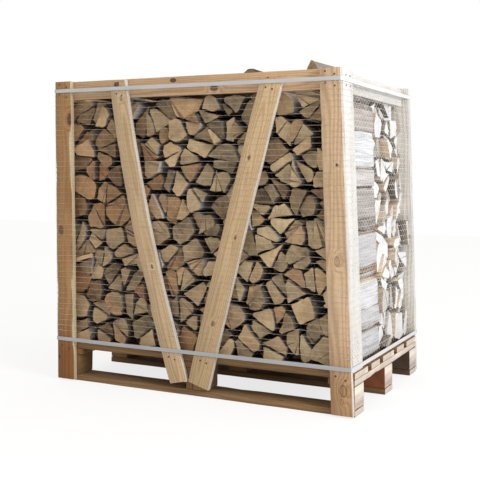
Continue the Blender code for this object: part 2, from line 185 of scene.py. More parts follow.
def new_piece(name, points, faces, materials, slots=None, data=None, sharp=38.0):
    """A mesh object at the origin, with its faces turned outward and its edges sharp past an angle."""
    mesh = bpy.data.meshes.new(name)
    mesh.from_pydata(points, [], faces)
    for made in materials:
        mesh.materials.append(made)
    if slots:
        mesh.polygons.foreach_set("material_index", slots)
    for key, values in (data or {}).items():
        mark(mesh, key, values)
    shell = bmesh.new()
    shell.from_mesh(mesh)
    bmesh.ops.recalc_face_normals(shell, faces=shell.faces)
    shell.to_mesh(mesh)
    shell.free()
    mesh.shade_smooth()
    mesh.set_sharp_from_angle(angle=math.radians(sharp))
    return placed(name, mesh)


def hand_over(piece, slot, *nodes):
    """The piece rides with the crate and stands for its CAD nodes, which are hidden."""
    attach(piece, BODY)
    if nodes:
        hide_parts(*nodes)


def face_leans():
    """The y of the crate's front and back, and how far each moves towards -X for each metre up."""
    found = []
    for node, outermost in (("post_front_left", min), ("post_back_left", max)):
        corners = [vertex.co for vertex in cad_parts[node].data.vertices]
        y = outermost(corner.y for corner in corners)
        face = [corner for corner in corners if abs(corner.y - y) < 1e-4]
        bottom, top = min(corner.z for corner in face), max(corner.z for corner in face)
        foot = min(corner.x for corner in face if corner.z < bottom + 1e-3)
        head = min(corner.x for corner in face if corner.z > top - 1e-3)
        found += [y, (foot - head) / (top - bottom)]
    return found


FRONT_Y, FRONT_LEAN, BACK_Y, BACK_LEAN = face_leans()


def lean_at(y):
    """The crate is a little twisted, so its lean changes from the front to the back."""
    return FRONT_LEAN + (BACK_LEAN - FRONT_LEAN) * (y - FRONT_Y) / (BACK_Y - FRONT_Y)


def leaning(x, y, z):
    """A point of the square crate where the leaning crate has it."""
    return Vector((x - lean_at(y) * z, y, z))


def straight(point):
    """A point of the leaning crate where it would be if the crate stood square."""
    return Vector((point.x + lean_at(point.y) * point.z, point.y, point.z))


def node_box(node):
    """The lowest and highest corner of a CAD node."""
    return [Vector(corner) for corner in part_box(node)]


def square_box(node):
    """The lowest and highest corner that a level or upright piece would have in a square crate."""
    low, high = node_box(node)
    low.x += lean_at(low.y) * high.z
    high.x += lean_at(high.y) * low.z
    return low, high


def flat_faces(node):
    """A CAD node's mesh with its doubles merged and the triangles of each flat face joined."""
    solid = bmesh.new()
    solid.from_mesh(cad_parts[node].data)
    bmesh.ops.remove_doubles(solid, verts=solid.verts, dist=1e-5)
    bmesh.ops.dissolve_limit(solid, angle_limit=math.radians(0.3), verts=[], edges=solid.edges)
    solid.faces.ensure_lookup_table()
    return solid


# Materials ------------------------------------------------------------------------------------


RGBA = {"out": 2, "data_type": "RGBA"}


def add(tree, kind, inputs=(), operation=None, out=0, **settings):
    """Adds a node with its settings, and with values or links for its inputs in order or by key.

    A kind of shader node is given without ShaderNode.  It gives one output, or all of them for out=None.
    """
    node = tree.nodes.new(kind if kind.startswith(("Geometry", "Function", "Node")) else f"ShaderNode{kind}")
    for key, value in (settings | ({"operation": operation} if operation else {})).items():
        setattr(node, key, value)
    for key, value in (inputs if isinstance(inputs, dict) else dict(enumerate(inputs))).items():
        if isinstance(value, bpy.types.NodeSocket):
            tree.links.new(value, node.inputs[key])
        else:
            node.inputs[key].default_value = value
    return node.outputs if out is None else node.outputs[out]


def new_material(name, roughness):
    """A material's node tree and its shader, with the roughness set on the shader."""
    made = bpy.data.materials.new(name)
    made.use_nodes = True
    shader = made.node_tree.nodes["Principled BSDF"]
    shader.inputs["Roughness"].default_value = roughness
    shader.inputs["Metallic"].default_value = 0.0
    return made, made.node_tree, shader


def finish_material(tree, shader, tone, height, depth):
    """Links a colour and a height in 0 to 1, which stands depth metres proud, to the shader."""
    tree.links.new(tone, shader.inputs["Base Color"])
    bump = add(tree, "Bump", {"Height": height, "Distance": depth, "Strength": 1.0})
    tree.links.new(bump, shader.inputs["Normal"])


def sawn_softwood(name, light, dark, sunlit_colour, pith, knots, stain, foot, wane, sun_from, fade, ring_width):
    """Rough-sawn spruce: growth rings cut lengthwise show as soft stripes that flow round the knots.

    The board attribute holds a point's place along, across and through its own board in metres.
    Faces towards +X and beyond x = sun_from take painted side light: they are mixed towards a pale colour.
    foot is where splash dirt ends and its colour, if there is any.  wane is where along the board its bark
    edge is widest, and its colour.
    fade is how much lighter the board is a metre further along.
    """
    made, tree, shader = new_material(name, 0.82)
    place = add(tree, "Attribute", out="Vector", attribute_name="board")
    along, across, _ = add(tree, "SeparateXYZ", [place], out=None)

    # Rings round a pith beside the board, drawn out lengthwise because trunks taper and wander
    from_pith = add(tree, "Mapping", {"Vector": place, "Location": (0.0, -pith[0], -pith[1])})
    stretched = add(tree, "Mapping", {"Vector": from_pith, "Scale": (1.6, 9.0, 9.0)})
    wander = add(tree, "TexNoise", {"Vector": stretched, "Scale": 1.0, "Detail": 2.0})
    section = add(tree, "VectorMath", [from_pith, (0.0, 1.0, 1.0)], "MULTIPLY")
    radius = add(tree, "VectorMath", [section], "LENGTH", out="Value")
    radius = add(tree, "Math", [wander, 0.045, radius], "MULTIPLY_ADD")
    tone_at_knots = None
    for knot_along, knot_across, size, shade, core in knots:
        beside = add(tree, "VectorMath", [place, (-knot_along, -knot_across, 0.0)], "ADD")
        oval = add(tree, "VectorMath", [beside, (0.62 / size, 1.0 / size, 0.0)], "MULTIPLY")
        apart = add(tree, "VectorMath", [oval], "LENGTH", out="Value")
        swell = add(tree, "MapRange", [apart, 3.2, 0.6, 0.0, size * 0.9], interpolation_type="SMOOTHERSTEP")
        radius = add(tree, "Math", [radius, swell], "ADD")
        inside = add(tree, "MapRange", [apart, 1.2, 0.95, 0.0, shade], interpolation_type="SMOOTHSTEP")
        paler = add(tree, "MapRange", [apart, 0.95, 0.7, 0.0, core], interpolation_type="SMOOTHSTEP")
        inside = add(tree, "Math", [inside, paler], "SUBTRACT")
        if tone_at_knots is None:
            tone_at_knots = inside
        else:
            tone_at_knots = add(tree, "Math", [tone_at_knots, inside], "MAXIMUM")
    turns = add(tree, "Math", [radius, math.tau / ring_width], "MULTIPLY")
    wave = add(tree, "Math", [turns], "SINE")
    rings = add(tree, "MapRange", [wave, -0.5, 1.0])

    # Fibres a few millimetres wide, broad soft stains, and saw marks across the board
    layers = []
    for along_it, across_it, detail in ((9.0, 380.0, 3.0), (3.5, 22.0, 4.0), (260.0, 14.0, 1.0)):
        drawn = add(tree, "Mapping", {"Vector": place, "Scale": (along_it, across_it, across_it)})
        layers.append(add(tree, "TexNoise", {"Vector": drawn, "Scale": 1.0, "Detail": detail}))
    fibres, stains, saw_marks = layers

    wood = add(tree, "Mix", {0: rings, 6: light, 7: dark}, **RGBA)
    shade = add(tree, "MapRange", [fibres, 0.3, 0.7, 0.86, 1.10])
    patch = add(tree, "MapRange", [stains, 0.32, 0.68, 1.0 - stain, 1.06])
    lines = add(tree, "MapRange", [saw_marks, 0.3, 0.7, 0.95, 1.04])
    faded = add(tree, "Math", [along, fade, 1.0], "MULTIPLY_ADD")
    for layer in (patch, lines, faded):
        shade = add(tree, "Math", [shade, layer], "MULTIPLY")
    wood = add(tree, "VectorMath", {0: wood, "Scale": shade}, "SCALE")
    if tone_at_knots is not None:
        wood = add(tree, "Mix", {0: tone_at_knots, 6: wood, 7: colour("#4A2E1C")}, **RGBA)
    if foot is not None:
        splash = add(tree, "Math", [stains, -0.16, along], "MULTIPLY_ADD")
        dirt = add(tree, "MapRange", [splash, foot[0], foot[0] - 0.15])
        dirty = add(tree, "Mix", {0: dirt, 6: colour("#FFFFFF"), 7: colour(foot[1])}, **RGBA)
        wood = add(tree, "VectorMath", [wood, dirty], "MULTIPLY")
    if wane is not None:
        apart = add(tree, "Math", [along, wane[0]], "SUBTRACT")
        apart = add(tree, "Math", [apart], "ABSOLUTE")
        widest = add(tree, "MapRange", [apart, 0.17, 0.08, 0.0, 0.008])
        ragged = add(tree, "Math", [stains, 0.05, across], "MULTIPLY_ADD")
        ragged = add(tree, "Math", [ragged, widest], "ADD")
        edge = add(tree, "MapRange", [ragged, 0.060, 0.063])
        skin = add(tree, "VectorMath", {0: colour(wane[1])[:3], "Scale": shade}, "SCALE")
        wood = add(tree, "Mix", {0: edge, 6: wood, 7: skin}, **RGBA)
    # Painted side light: faces towards +X, beyond x = sun_from, are mixed towards a pale colour as if
    # strongly lit
    sunny = sunlit(tree, 0.85)
    sunny = add(tree, "Math", [sunny, patch], "MULTIPLY", use_clamp=True)
    spot = add(tree, "TexCoord", out="Object")
    east, _, _ = add(tree, "SeparateXYZ", [spot], out=None)
    beyond = add(tree, "Math", [east, sun_from], "GREATER_THAN")
    sunny = add(tree, "Math", [sunny, beyond], "MULTIPLY")
    pale = add(tree, "Mix", {0: 0.86, 6: light, 7: sunlit_colour}, **RGBA)
    pale = add(tree, "VectorMath", {0: pale, "Scale": shade}, "SCALE")
    wood = add(tree, "Mix", {0: sunny, 6: wood, 7: pale}, **RGBA)
    height = add(tree, "Math", [rings, 0.35, fibres], "MULTIPLY_ADD")
    finish_material(tree, shader, wood, height, 0.0009)
    return made


def log_attributes(tree):
    """A log's place from its pith, that place moved apart from other logs', and its three tint numbers."""
    wood = add(tree, "Attribute", out="Vector", attribute_name="wood")
    tint = add(tree, "Attribute", out="Vector", attribute_name="tint")
    warmth, brightness, chance = add(tree, "SeparateXYZ", [tint], out=None)
    shifted = add(tree, "VectorMath", [tint, (3.0, 5.0, 40.0)], "MULTIPLY")
    own = add(tree, "VectorMath", [wood, shifted], "ADD")
    return wood, own, warmth, brightness, chance


def sunlit(tree, reach):
    """How pale a face is by its way in the world: full towards +X, where the strongest light comes from.

    It is light painted as colour, so it stays on the part whatever lights it.
    """
    facing = add(tree, "NewGeometry", out="Normal")
    sunward, _, _ = add(tree, "SeparateXYZ", [facing], out=None)
    return add(tree, "MapRange", [sunward, 0.55, 0.90, 0.0, reach])


def cross_cut_hardwood(settings):
    """Beech and birch cut across by chainsaw and dried: dull tan, with rings, checks and a dark heart."""
    made, tree, shader = new_material("cross_cut_hardwood", 0.88)
    wood, own, warmth, brightness, chance = log_attributes(tree)
    across, up, _ = add(tree, "SeparateXYZ", [wood], out=None)

    flat = add(tree, "VectorMath", [wood, (1.0, 1.0, 0.0)], "MULTIPLY")
    radius = add(tree, "VectorMath", [flat], "LENGTH", out="Value")
    blotch = add(tree, "TexNoise", {"Vector": own, "Scale": 28.0, "Detail": 4.0})
    ripple = add(tree, "Math", [blotch, 0.02, radius], "MULTIPLY_ADD")
    turns = add(tree, "Math", [ripple, math.tau / 0.0058], "MULTIPLY")
    rings = add(tree, "Math", [turns], "SINE")

    # Drying checks run out from the pith, each a dark line
    angle = add(tree, "Math", [up, across], "ARCTAN2")
    fan = add(tree, "CombineXYZ", [angle, chance])
    fans = add(tree, "VectorMath", [fan, (4.5, 60.0, 0.0)], "MULTIPLY")
    spokes = add(tree, "TexNoise", {"Vector": fans, "Scale": 1.0, "Detail": 2.0})
    checks = add(tree, "MapRange", [spokes, 0.645, 0.675, 0.0, 0.75])

    # The chain leaves faint straight scratches across the whole end, drawn 6 mm apart so that they show
    lie = add(tree, "VectorRotate", {"Vector": own, "Angle": warmth}, rotation_type="Z_AXIS")
    scratch = add(tree, "Mapping", {"Vector": lie, "Scale": (18.0, 170.0, 18.0)})
    scratches = add(tree, "TexNoise", {"Vector": scratch, "Scale": 1.0, "Detail": 1.0})

    tone = add(tree, "Mix", {0: warmth, 6: settings.end, 7: settings.heart}, **RGBA)
    heart = add(tree, "MapRange", [radius, 0.050, 0.008, 0.0, 0.40])
    heart = add(tree, "Math", [heart, chance], "MULTIPLY")
    tone = add(tree, "Mix", {0: heart, 6: tone, 7: colour("#6E5236")}, **RGBA)
    grey = add(tree, "MapRange", [blotch, 0.54, 0.74, 0.0, 0.35])
    tone = add(tree, "Mix", {0: grey, 6: tone, 7: colour("#6B5E4A")}, **RGBA)
    # Painted side light: ends towards +X are mixed towards a pale grey, the more the brighter the log, and
    # their light is evened out
    sunny = sunlit(tree, 1.0)
    sun_share = add(tree, "MapRange", [brightness, 0.15, 0.45, 0.55, 0.95])
    sunny = add(tree, "Math", [sunny, sun_share], "MULTIPLY")
    tone = add(tree, "Mix", {0: sunny, 6: tone, 7: colour("#DFE0E3")}, **RGBA)
    shade = add(tree, "MapRange", [brightness, 0.0, 1.0, 0.44, 1.46])
    cloud = add(tree, "TexNoise", {"Vector": own, "Scale": 13.0, "Detail": 1.0})
    shade = add(tree, "Math", [cloud, 0.9, shade], "MULTIPLY_ADD")
    shade = add(tree, "Math", [shade, 0.45], "SUBTRACT")
    light = add(tree, "Math", [rings, 0.05, shade], "MULTIPLY_ADD")
    mottle = add(tree, "TexNoise", {"Vector": own, "Scale": 75.0, "Detail": 3.0})
    light = add(tree, "Math", [mottle, 0.75, light], "MULTIPLY_ADD")
    light = add(tree, "Math", [scratches, 0.40, light], "MULTIPLY_ADD")
    light = add(tree, "Math", [light, 0.575], "SUBTRACT")
    even = add(tree, "Math", [light, 0.28, 0.71], "MULTIPLY_ADD")
    light = add(tree, "Mix", {0: sunny, 2: light, 3: even}, out=0)
    tone = add(tree, "VectorMath", {0: tone, "Scale": light}, "SCALE")
    tone = add(tree, "Mix", {0: checks, 6: tone, 7: colour("#3A2A1C")}, **RGBA)
    height = add(tree, "Math", [scratches, checks], "SUBTRACT")
    finish_material(tree, shader, tone, height, 0.0012)
    return made


def painted_light_and_shade(tree, tone, pale, reach):
    """A log's side with painted light and shade: pale towards +X, and dark brown inward from its sawn end and
    from the stack's outside, as painted shade between the logs.
    """
    sunny = sunlit(tree, reach)
    tone = add(tree, "Mix", {0: sunny, 6: tone, 7: pale}, **RGBA)
    # Painted shade: darker inside the stack, where shade falls in the gaps between logs
    depth = add(tree, "Attribute", out="Fac", attribute_name="painted_shade")
    return add(tree, "Mix", {0: depth, 6: tone, 7: colour("#2E1C0E")}, **RGBA)


def split_hardwood(settings):
    """A face riven along the grain: pale and clean, in long raised fibres with torn steps."""
    made, tree, shader = new_material("riven_hardwood", 0.80)
    _, own, warmth, brightness, _ = log_attributes(tree)
    layers = []
    for scale in ((230.0, 230.0, 9.0), (75.0, 75.0, 4.0)):
        drawn = add(tree, "Mapping", {"Vector": own, "Scale": scale})
        layers.append(add(tree, "TexNoise", {"Vector": drawn, "Scale": 1.0, "Detail": 3.0}))
    fibres, bands = layers
    warm = add(tree, "Math", [warmth, bands], "MULTIPLY")
    tone = add(tree, "Mix", {0: warm, 6: settings.split, 7: colour("#A87040")}, **RGBA)
    # Painted side light: the pale colour that faces towards +X are mixed towards, with its own brightness
    # below
    pale = add(tree, "Mix", {0: warmth, 6: colour("#E5E8EF"), 7: colour("#CDB49E")}, **RGBA)
    shade = add(tree, "MapRange", [brightness, 0.0, 1.0, 0.60, 1.20])
    light = add(tree, "Math", [fibres, 0.9, shade], "MULTIPLY_ADD")
    light = add(tree, "Math", [bands, 1.0, light], "MULTIPLY_ADD")
    light = add(tree, "Math", [light, 0.90], "SUBTRACT")
    tone = add(tree, "VectorMath", {0: tone, "Scale": light}, "SCALE")
    sunlit_brightness = add(tree, "Math", [brightness, 0.51, 0.47], "MULTIPLY_ADD")
    streaks = add(tree, "MapRange", [fibres, 0.36, 0.56, 0.72, 1.04])
    sunlit_brightness = add(tree, "Math", [sunlit_brightness, streaks], "MULTIPLY")
    broken = add(tree, "MapRange", [bands, 0.35, 0.60, 0.80, 1.06])
    sunlit_brightness = add(tree, "Math", [sunlit_brightness, broken], "MULTIPLY")
    pale = add(tree, "VectorMath", {0: pale, "Scale": sunlit_brightness}, "SCALE")
    tone = painted_light_and_shade(tree, tone, pale, 0.94)
    finish_material(tree, shader, tone, fibres, 0.0018)
    return made


def log_bark(settings):
    """Beech, birch and oak bark: grey plates between dark cracks that run along the log."""
    made, tree, shader = new_material("hardwood_bark", 0.92)
    _, own, warmth, brightness, _ = log_attributes(tree)
    plates = add(tree, "Mapping", {"Vector": own, "Scale": (120.0, 120.0, 14.0)})
    cracks = add(tree, "TexNoise", {"Vector": plates, "Scale": 1.0, "Detail": 5.0})
    cracked = add(tree, "MapRange", [cracks, 0.36, 0.60])
    tone = add(tree, "Mix", {0: cracked, 6: colour("#40342A"), 7: settings.rind}, **RGBA)
    brown = add(tree, "Mix", {0: warmth, 6: colour("#FFFFFF"), 7: colour("#B79A7E")}, **RGBA)
    # Painted side light: pale grey plates for faces towards +X
    pale = add(tree, "Mix", {0: cracked, 6: colour("#A1968E"), 7: colour("#DCDDE0")}, **RGBA)
    shade = add(tree, "MapRange", [brightness, 0.0, 1.0, 0.40, 1.40])
    browned = [add(tree, "VectorMath", [side, brown], "MULTIPLY") for side in (tone, pale)]
    tone, pale = (add(tree, "VectorMath", {0: side, "Scale": shade}, "SCALE") for side in browned)
    tone = painted_light_and_shade(tree, tone, pale, 0.85)
    finish_material(tree, shader, tone, cracked, 0.0025)
    return made


# Painted shade darkens the net in front of this y
SHADED_NET_FRONT = -0.41


def knitted_polyethylene(settings):
    """Polyethylene tape yarn: white, a little see-through, with a soft shine along each stitch."""
    made, tree, shader = new_material("knitted_polyethylene", 0.45)
    shader.inputs["IOR"].default_value = 1.51
    place = add(tree, "TexCoord", out="Object")
    stitches = add(tree, "TexNoise", {"Vector": place, "Scale": 160.0, "Detail": 1.0})
    shade = add(tree, "MapRange", [stitches, 0.3, 0.7, 0.80, 1.0])
    _, back, _ = add(tree, "SeparateXYZ", [place], out=None)
    # Painted shade: in front of the crate the yarn is mixed in bands towards a darker colour
    bands = add(tree, "Mapping", {"Vector": place, "Scale": (1.5, 1.5, 14.0)})
    net_shade_noise = add(tree, "TexNoise", {"Vector": bands, "Scale": 1.0, "Detail": 2.0})
    net_shade_amount = add(tree, "MapRange", [net_shade_noise, 0.35, 0.65, 1.0, 0.4])
    ahead = add(tree, "Math", [back, SHADED_NET_FRONT], "LESS_THAN")
    painted_shading = add(tree, "Math", [ahead, net_shade_amount], "MULTIPLY")
    clean = add(tree, "Mix", {0: painted_shading, 6: settings.tint, 7: colour("#D6CCBC")}, **RGBA)
    tone = add(tree, "VectorMath", {0: clean, "Scale": shade}, "SCALE")
    finish_material(tree, shader, tone, stitches, 0.0003)
    return made


def embossed_polypropylene(settings):
    """Strapping tape of drawn polypropylene: satin, with a rolled-in pattern of small diamonds."""
    made, tree, shader = new_material("embossed_polypropylene", 0.34)
    shader.inputs["IOR"].default_value = 1.49
    place = add(tree, "Attribute", out="Vector", attribute_name="tape")
    slant = (0.0, 0.0, math.radians(45))
    turned = add(tree, "Mapping", {"Vector": place, "Rotation": slant, "Scale": (420.0, 420.0, 1.0)})
    diamonds = add(tree, "TexVoronoi", {"Vector": turned, "Scale": 1.0, "Randomness": 0.0})
    broad = add(tree, "Mapping", {"Vector": place, "Scale": (9.0, 60.0, 1.0)})
    worn = add(tree, "TexNoise", {"Vector": broad, "Scale": 1.0, "Detail": 3.0})
    shade = add(tree, "MapRange", [worn, 0.3, 0.7, 0.90, 1.04])
    # Darker towards the bottom
    spot = add(tree, "TexCoord", out="Object")
    _, _, up = add(tree, "SeparateXYZ", [spot], out=None)
    lower_darker = add(tree, "MapRange", [up, 0.15, 1.1, 0.84, 1.08])
    shade = add(tree, "Math", [shade, lower_darker], "MULTIPLY")
    # Painted side light: faces towards +X are mixed towards a paler grey
    sunny = sunlit(tree, 0.7)
    tone = add(tree, "Mix", {0: sunny, 6: settings.tint, 7: colour("#E8E8EA")}, **RGBA)
    tone = add(tree, "VectorMath", {0: tone, "Scale": shade}, "SCALE")
    finish_material(tree, shader, tone, diamonds, 0.0003)
    return made


def rusting_steel():
    """Bright wire nails left outdoors: dull grey steel with brown rust."""
    made, tree, shader = new_material("rusting_steel", 0.55)
    shader.inputs["Metallic"].default_value = 0.6
    place = add(tree, "TexCoord", out="Object")
    rust = add(tree, "TexNoise", {"Vector": place, "Scale": 300.0, "Detail": 3.0})
    tone = add(tree, "Mix", {0: rust, 6: colour("#3E3A38"), 7: colour("#5A3B26")}, **RGBA)
    finish_material(tree, shader, tone, rust, 0.0003)
    return made


# Boards ---------------------------------------------------------------------------------------

# Distance between a board's rings, how near its ends the first and last are, and the points of a ring
RING_STEP = 0.035
END_RING = 0.003
CORNER_POINTS = 3
AROUND = 4 * CORNER_POINTS

# Where an edge's noise is past this, a chip this deep times the rest is lost
CHIP_FROM = 0.30
CHIP_DEPTH = 0.014

AXES = (Vector((1, 0, 0)), Vector((0, 1, 0)), Vector((0, 0, 1)))


def eased_section(wide, thick, radii):
    """A board's section with its four corners eased, as (across, through) counter-clockwise."""
    points = []
    for turn, (side, face) in enumerate(((1, -1), (1, 1), (-1, 1), (-1, -1))):
        radius = radii[turn]
        for step in range(CORNER_POINTS):
            angle = math.radians(90 * turn - 90 + 90 * step / (CORNER_POINTS - 1))
            across = side * (wide / 2 - radius) + radius * math.cos(angle)
            through = face * (thick / 2 - radius) + radius * math.sin(angle)
            points.append((across, through))
    return points


def timber(route, wide_way, thick_way, wide, thick, seed, settings, bites=()):
    """Points, faces and board coordinates of a rough-sawn board along a route of points.

    A bite is (start, length, depth, side): a splinter lost from one edge, square at its start.
    """
    rng = random.Random(seed)
    shift = Vector((rng.uniform(0, 90), rng.uniform(0, 90), rng.uniform(0, 90)))
    points, coordinates = [], []
    length = 0.0
    total = sum((b - a).length for a, b in zip(route, route[1:]))
    for ring, centre in enumerate(route):
        if ring:
            length += (centre - route[ring - 1]).length
        at_end = ring in (0, len(route) - 1)
        radii = []
        for corner in range(4):
            worn = noise.noise(shift + Vector((length * 14.0, corner * 7.3, 0.0)))
            chip = max(0.0, worn - CHIP_FROM) * CHIP_DEPTH
            radii.append(min(settings.edge * (1.0 + 0.5 * worn) + chip, thick * 0.4))
        lost = {1: 0.0, -1: 0.0}
        for start, reach, depth, side in bites:
            if start <= length < start + reach:
                lost[side] += depth * (1.0 - (length - start) / reach)
        for across, through in eased_section(wide, thick, radii):
            side = 1 if across > 0 else -1
            hollow = noise.noise(shift + Vector((length * 6.0, across * 25.0, through * 60.0)))
            inward = settings.roughness * (0.5 + 0.5 * hollow)
            across -= side * (inward + lost[side])
            through -= math.copysign(inward, through)
            if at_end:
                across *= 1.0 - settings.edge * 0.5 / wide
                through *= 1.0 - settings.edge * 0.6 / thick
            points.append(centre + wide_way * across + thick_way * through)
            coordinates.append((length - total / 2, across, through))
    faces = [tuple(range(AROUND)), tuple(range(len(points) - AROUND, len(points)))]
    return points, faces + ring_quads(len(route), AROUND), coordinates


def even_route(start, end):
    """Points along a straight board, closer together at its two ends."""
    run = end - start
    steps = max(2, round(run.length / RING_STEP))
    near = END_RING / run.length
    places = [0.0, near, *(k / steps for k in range(1, steps)), 1 - near, 1.0]
    return [start + run * t for t in places]


def board_frame(node, leans):
    """A straight board's ends, its two cross directions and its sizes, in the square crate."""
    low, high = square_box(node) if leans else node_box(node)
    size, middle = high - low, (low + high) / 2
    along, wide, thick = sorted(range(3), key=lambda axis: -size[axis])
    reach = AXES[along] * size[along] / 2
    return middle - reach, middle + reach, AXES[wide], AXES[thick], size[wide], size[thick]


def random_knots(rng, length, wide, count):
    """Knots at random places on a board: along, across, size, darkness and how much paler its middle is."""
    knots = []
    for _ in range(count):
        along = rng.uniform(-0.46, 0.46) * length
        across = rng.uniform(-0.36, 0.36) * wide
        knots.append((along, across, rng.uniform(0.004, 0.008), rng.uniform(0.35, 0.8), 0.1))
    return knots


PALLET_PARTS = ("bottom_board", "block", "stringer", "deck_board")

# How each board in front differs from its kind in red, green and blue, and how it fades a metre along. The
# dark tones of block_middle_right, block_back_right and the middle and back bottom boards, under the deck,
# are painted shade
SEEN_TONES = {
    "post_front_left": (0.96, 1.03, 1.16), "post_front_right": (1.02, 1.06, 1.12),
    "brace_front_left": (0.90, 0.96, 0.96), "brace_front_right": (0.92, 0.97, 0.93),
    "rail_front": (0.99, 0.98, 0.96), "block_front_left": (0.85, 0.85, 0.85),
    "block_middle_right": (0.84, 0.44, 0.36), "block_back_right": (0.28, 0.26, 0.32),
    "bottom_board_middle": (0.70, 0.66, 0.62), "bottom_board_back": (0.34, 0.34, 0.38),
    "post_back_right": (1.08, 1.10, 1.16), "bottom_board_front": (1.0, 1.04, 1.12),
}
SEEN_FADES = {"rail_front": 0.28, "brace_front_right": 0.24}
SEEN_SPLASHES = {"post_front_left": "#D0B497"}
SEEN_WANES = {"post_front_left": (0.29, "#CBBC9C")}


def board_material(node, base, seed, settings, knots, stain, foot, sun_from):
    """Spruce for one board, a little lighter or darker than its kind, with its own pith and knots."""
    rng = random.Random(seed * 7 + 3)
    tones = SEEN_TONES.get(node, [rng.uniform(0.92, 1.04)] * 3)
    light = [channel * tone for channel, tone in zip(base, tones)] + [1.0]
    dark = [channel * share for channel, share in zip(light, (0.80, 0.72, 0.62))] + [1.0]
    pith = (rng.uniform(-0.03, 0.03), rng.choice((-1, 1)) * rng.uniform(0.02, 0.07))
    name = f"sawn_spruce.{node}"
    fade = SEEN_FADES.get(node, 0.0)
    wane = SEEN_WANES.get(node)
    # The pale colour that faces towards +X take: painted side light
    sunlit_colour = colour("#F1E6DA" if node.startswith(PALLET_PARTS) else wane[1] if wane else "#D6D4D3")
    return sawn_softwood(
        name, light, dark, sunlit_colour, pith, knots, stain, foot, wane, sun_from, fade, settings.ring_width
    )


# Knots of the boards in front: along from the middle, across, size, darkness, how much paler in the middle
SEEN_KNOTS = {
    "post_front_left": (
        (0.430, 0.034, 0.014, 0.90, 0.0), (-0.008, -0.016, 0.011, 0.75, 0.1), (-0.50, -0.03, 0.004, 0.8, 0.0),
    ),
    "post_front_right": (
        (0.248, 0.014, 0.004, 0.95, 0.0), (-0.075, 0.002, 0.010, 0.62, 0.48),
        (-0.500, 0.008, 0.012, 0.62, 0.42), (-0.536, 0.002, 0.006, 0.5, 0.4),
    ),
    "brace_front_left": (
        (-0.145, 0.012, 0.005, 0.85, 0.0), (0.560, -0.004, 0.011, 0.85, 0.0), (0.50, 0.008, 0.006, 0.6, 0.1),
    ),
    "brace_front_right": (
        (0.280, -0.010, 0.005, 0.85, 0.1), (-0.010, 0.012, 0.005, 0.8, 0.1),
        (-0.335, 0.004, 0.006, 0.85, 0.2),
    ),
    "rail_front": (
        (-0.067, 0.022, 0.008, 0.9, 0.0), (0.105, -0.014, 0.010, 0.85, 0.0), (-0.319, 0.016, 0.007, 0.7, 0.1),
    ),
}


def build_board(node, line, base, slot, stain, leans, bites=()):
    """One sawn board with its own wood; line is its route, cross directions, width and thickness."""
    settings = bpy.context.scene.firewood_boards
    name = f"{node}_sawn"
    seed = sum(ord(letter) * (place + 1) for place, letter in enumerate(node))
    points, faces, coordinates = timber(*line, seed, settings, bites)
    if leans:
        points = [leaning(*point) for point in points]
    route, wide = line[0], line[3]
    rng = random.Random(seed)
    knots = SEEN_KNOTS.get(node)
    if knots is None:
        knots = random_knots(rng, (route[-1] - route[0]).length, wide, rng.choice((1, 2, 3)))
    foot = (-0.40, SEEN_SPLASHES.get(node, "#DACDBC")) if node.startswith("post") else None
    # Painted side light reaches +X faces beyond this x: on the front posts and braces, all of them
    sun_from = -1.0 if node.startswith(("post_front", "brace_front")) else 0.5
    made = board_material(node, base, seed, settings, knots, stain, foot, sun_from)
    piece = new_piece(name, points, faces, [made], data={"board": coordinates})
    hand_over(piece, slot, node)


def build_straight_board(node, leans, base, slot, stain):
    """A board along its CAD node's longest side."""
    start, end, *section = board_frame(node, leans)
    build_board(node, (even_route(start, end), *section), base, slot, stain, leans)


# Braces: top and foot of the centre line as (x, z), width across and bow sideways, as in the solids
BRACES = {
    "left": ((-0.303, 1.158), (-0.059, 0.047), 0.074, -0.026),
    "right": ((0.343, 1.139), (0.021, 0.043), 0.085, -0.004),
}
BRACE_STEPS = 34
BRACE_BITES = {"brace_front_left": ((0.286, 0.26, 0.007, -1),)}


def brace_line(face, side, z):
    """The middle of a brace at a height of the square crate; the back's V is the front's turned round."""
    (top_x, top_z), (foot_x, foot_z), _, bow = BRACES[side]
    t = (z - foot_z) / (top_z - foot_z)
    return (1 if face == "front" else -1) * (foot_x + (top_x - foot_x) * t + bow * 4 * t * (1 - t))


def build_brace(face, side, base):
    """A slanting board with a slight bow, from its foot up."""
    node = f"brace_{face}_{side}"
    low, high = node_box(node)
    (_, top_z), (_, foot_z), wide, _ = BRACES[side]
    heights = [foot_z + (top_z - foot_z) * step / BRACE_STEPS for step in range(BRACE_STEPS + 1)]
    route = [Vector((brace_line(face, side, z), (low.y + high.y) / 2, z)) for z in heights]
    run = (route[-1] - route[0]).normalized()
    line = (route, Vector((run.z, 0.0, -run.x)), AXES[1], wide, high.y - low.y)
    build_board(node, line, base, "frame_wood", 0.10, True, BRACE_BITES.get(node, ()))


# Logs -----------------------------------------------------------------------------------------

END, SPLIT, BARK = 0, 1, 2


def sides_of(outline):
    """Each side of a closed outline as its two ends."""
    return zip(outline, outline[1:] + outline[:1])


def middle_of(points):
    """The mean of points in a plane."""
    return sum(points, Vector((0.0, 0.0))) / len(points)


def turning(outline, index):
    """How sharply an outline turns at a point; 0 is straight on."""
    before, here = outline[index - 1], outline[index]
    after = outline[(index + 1) % len(outline)]
    return (here - before).angle(after - here, 0.0)


def area_of(outline):
    """Area of an outline, counted positive counter-clockwise."""
    return sum(a.x * b.y - b.x * a.y for a, b in sides_of(outline)) / 2


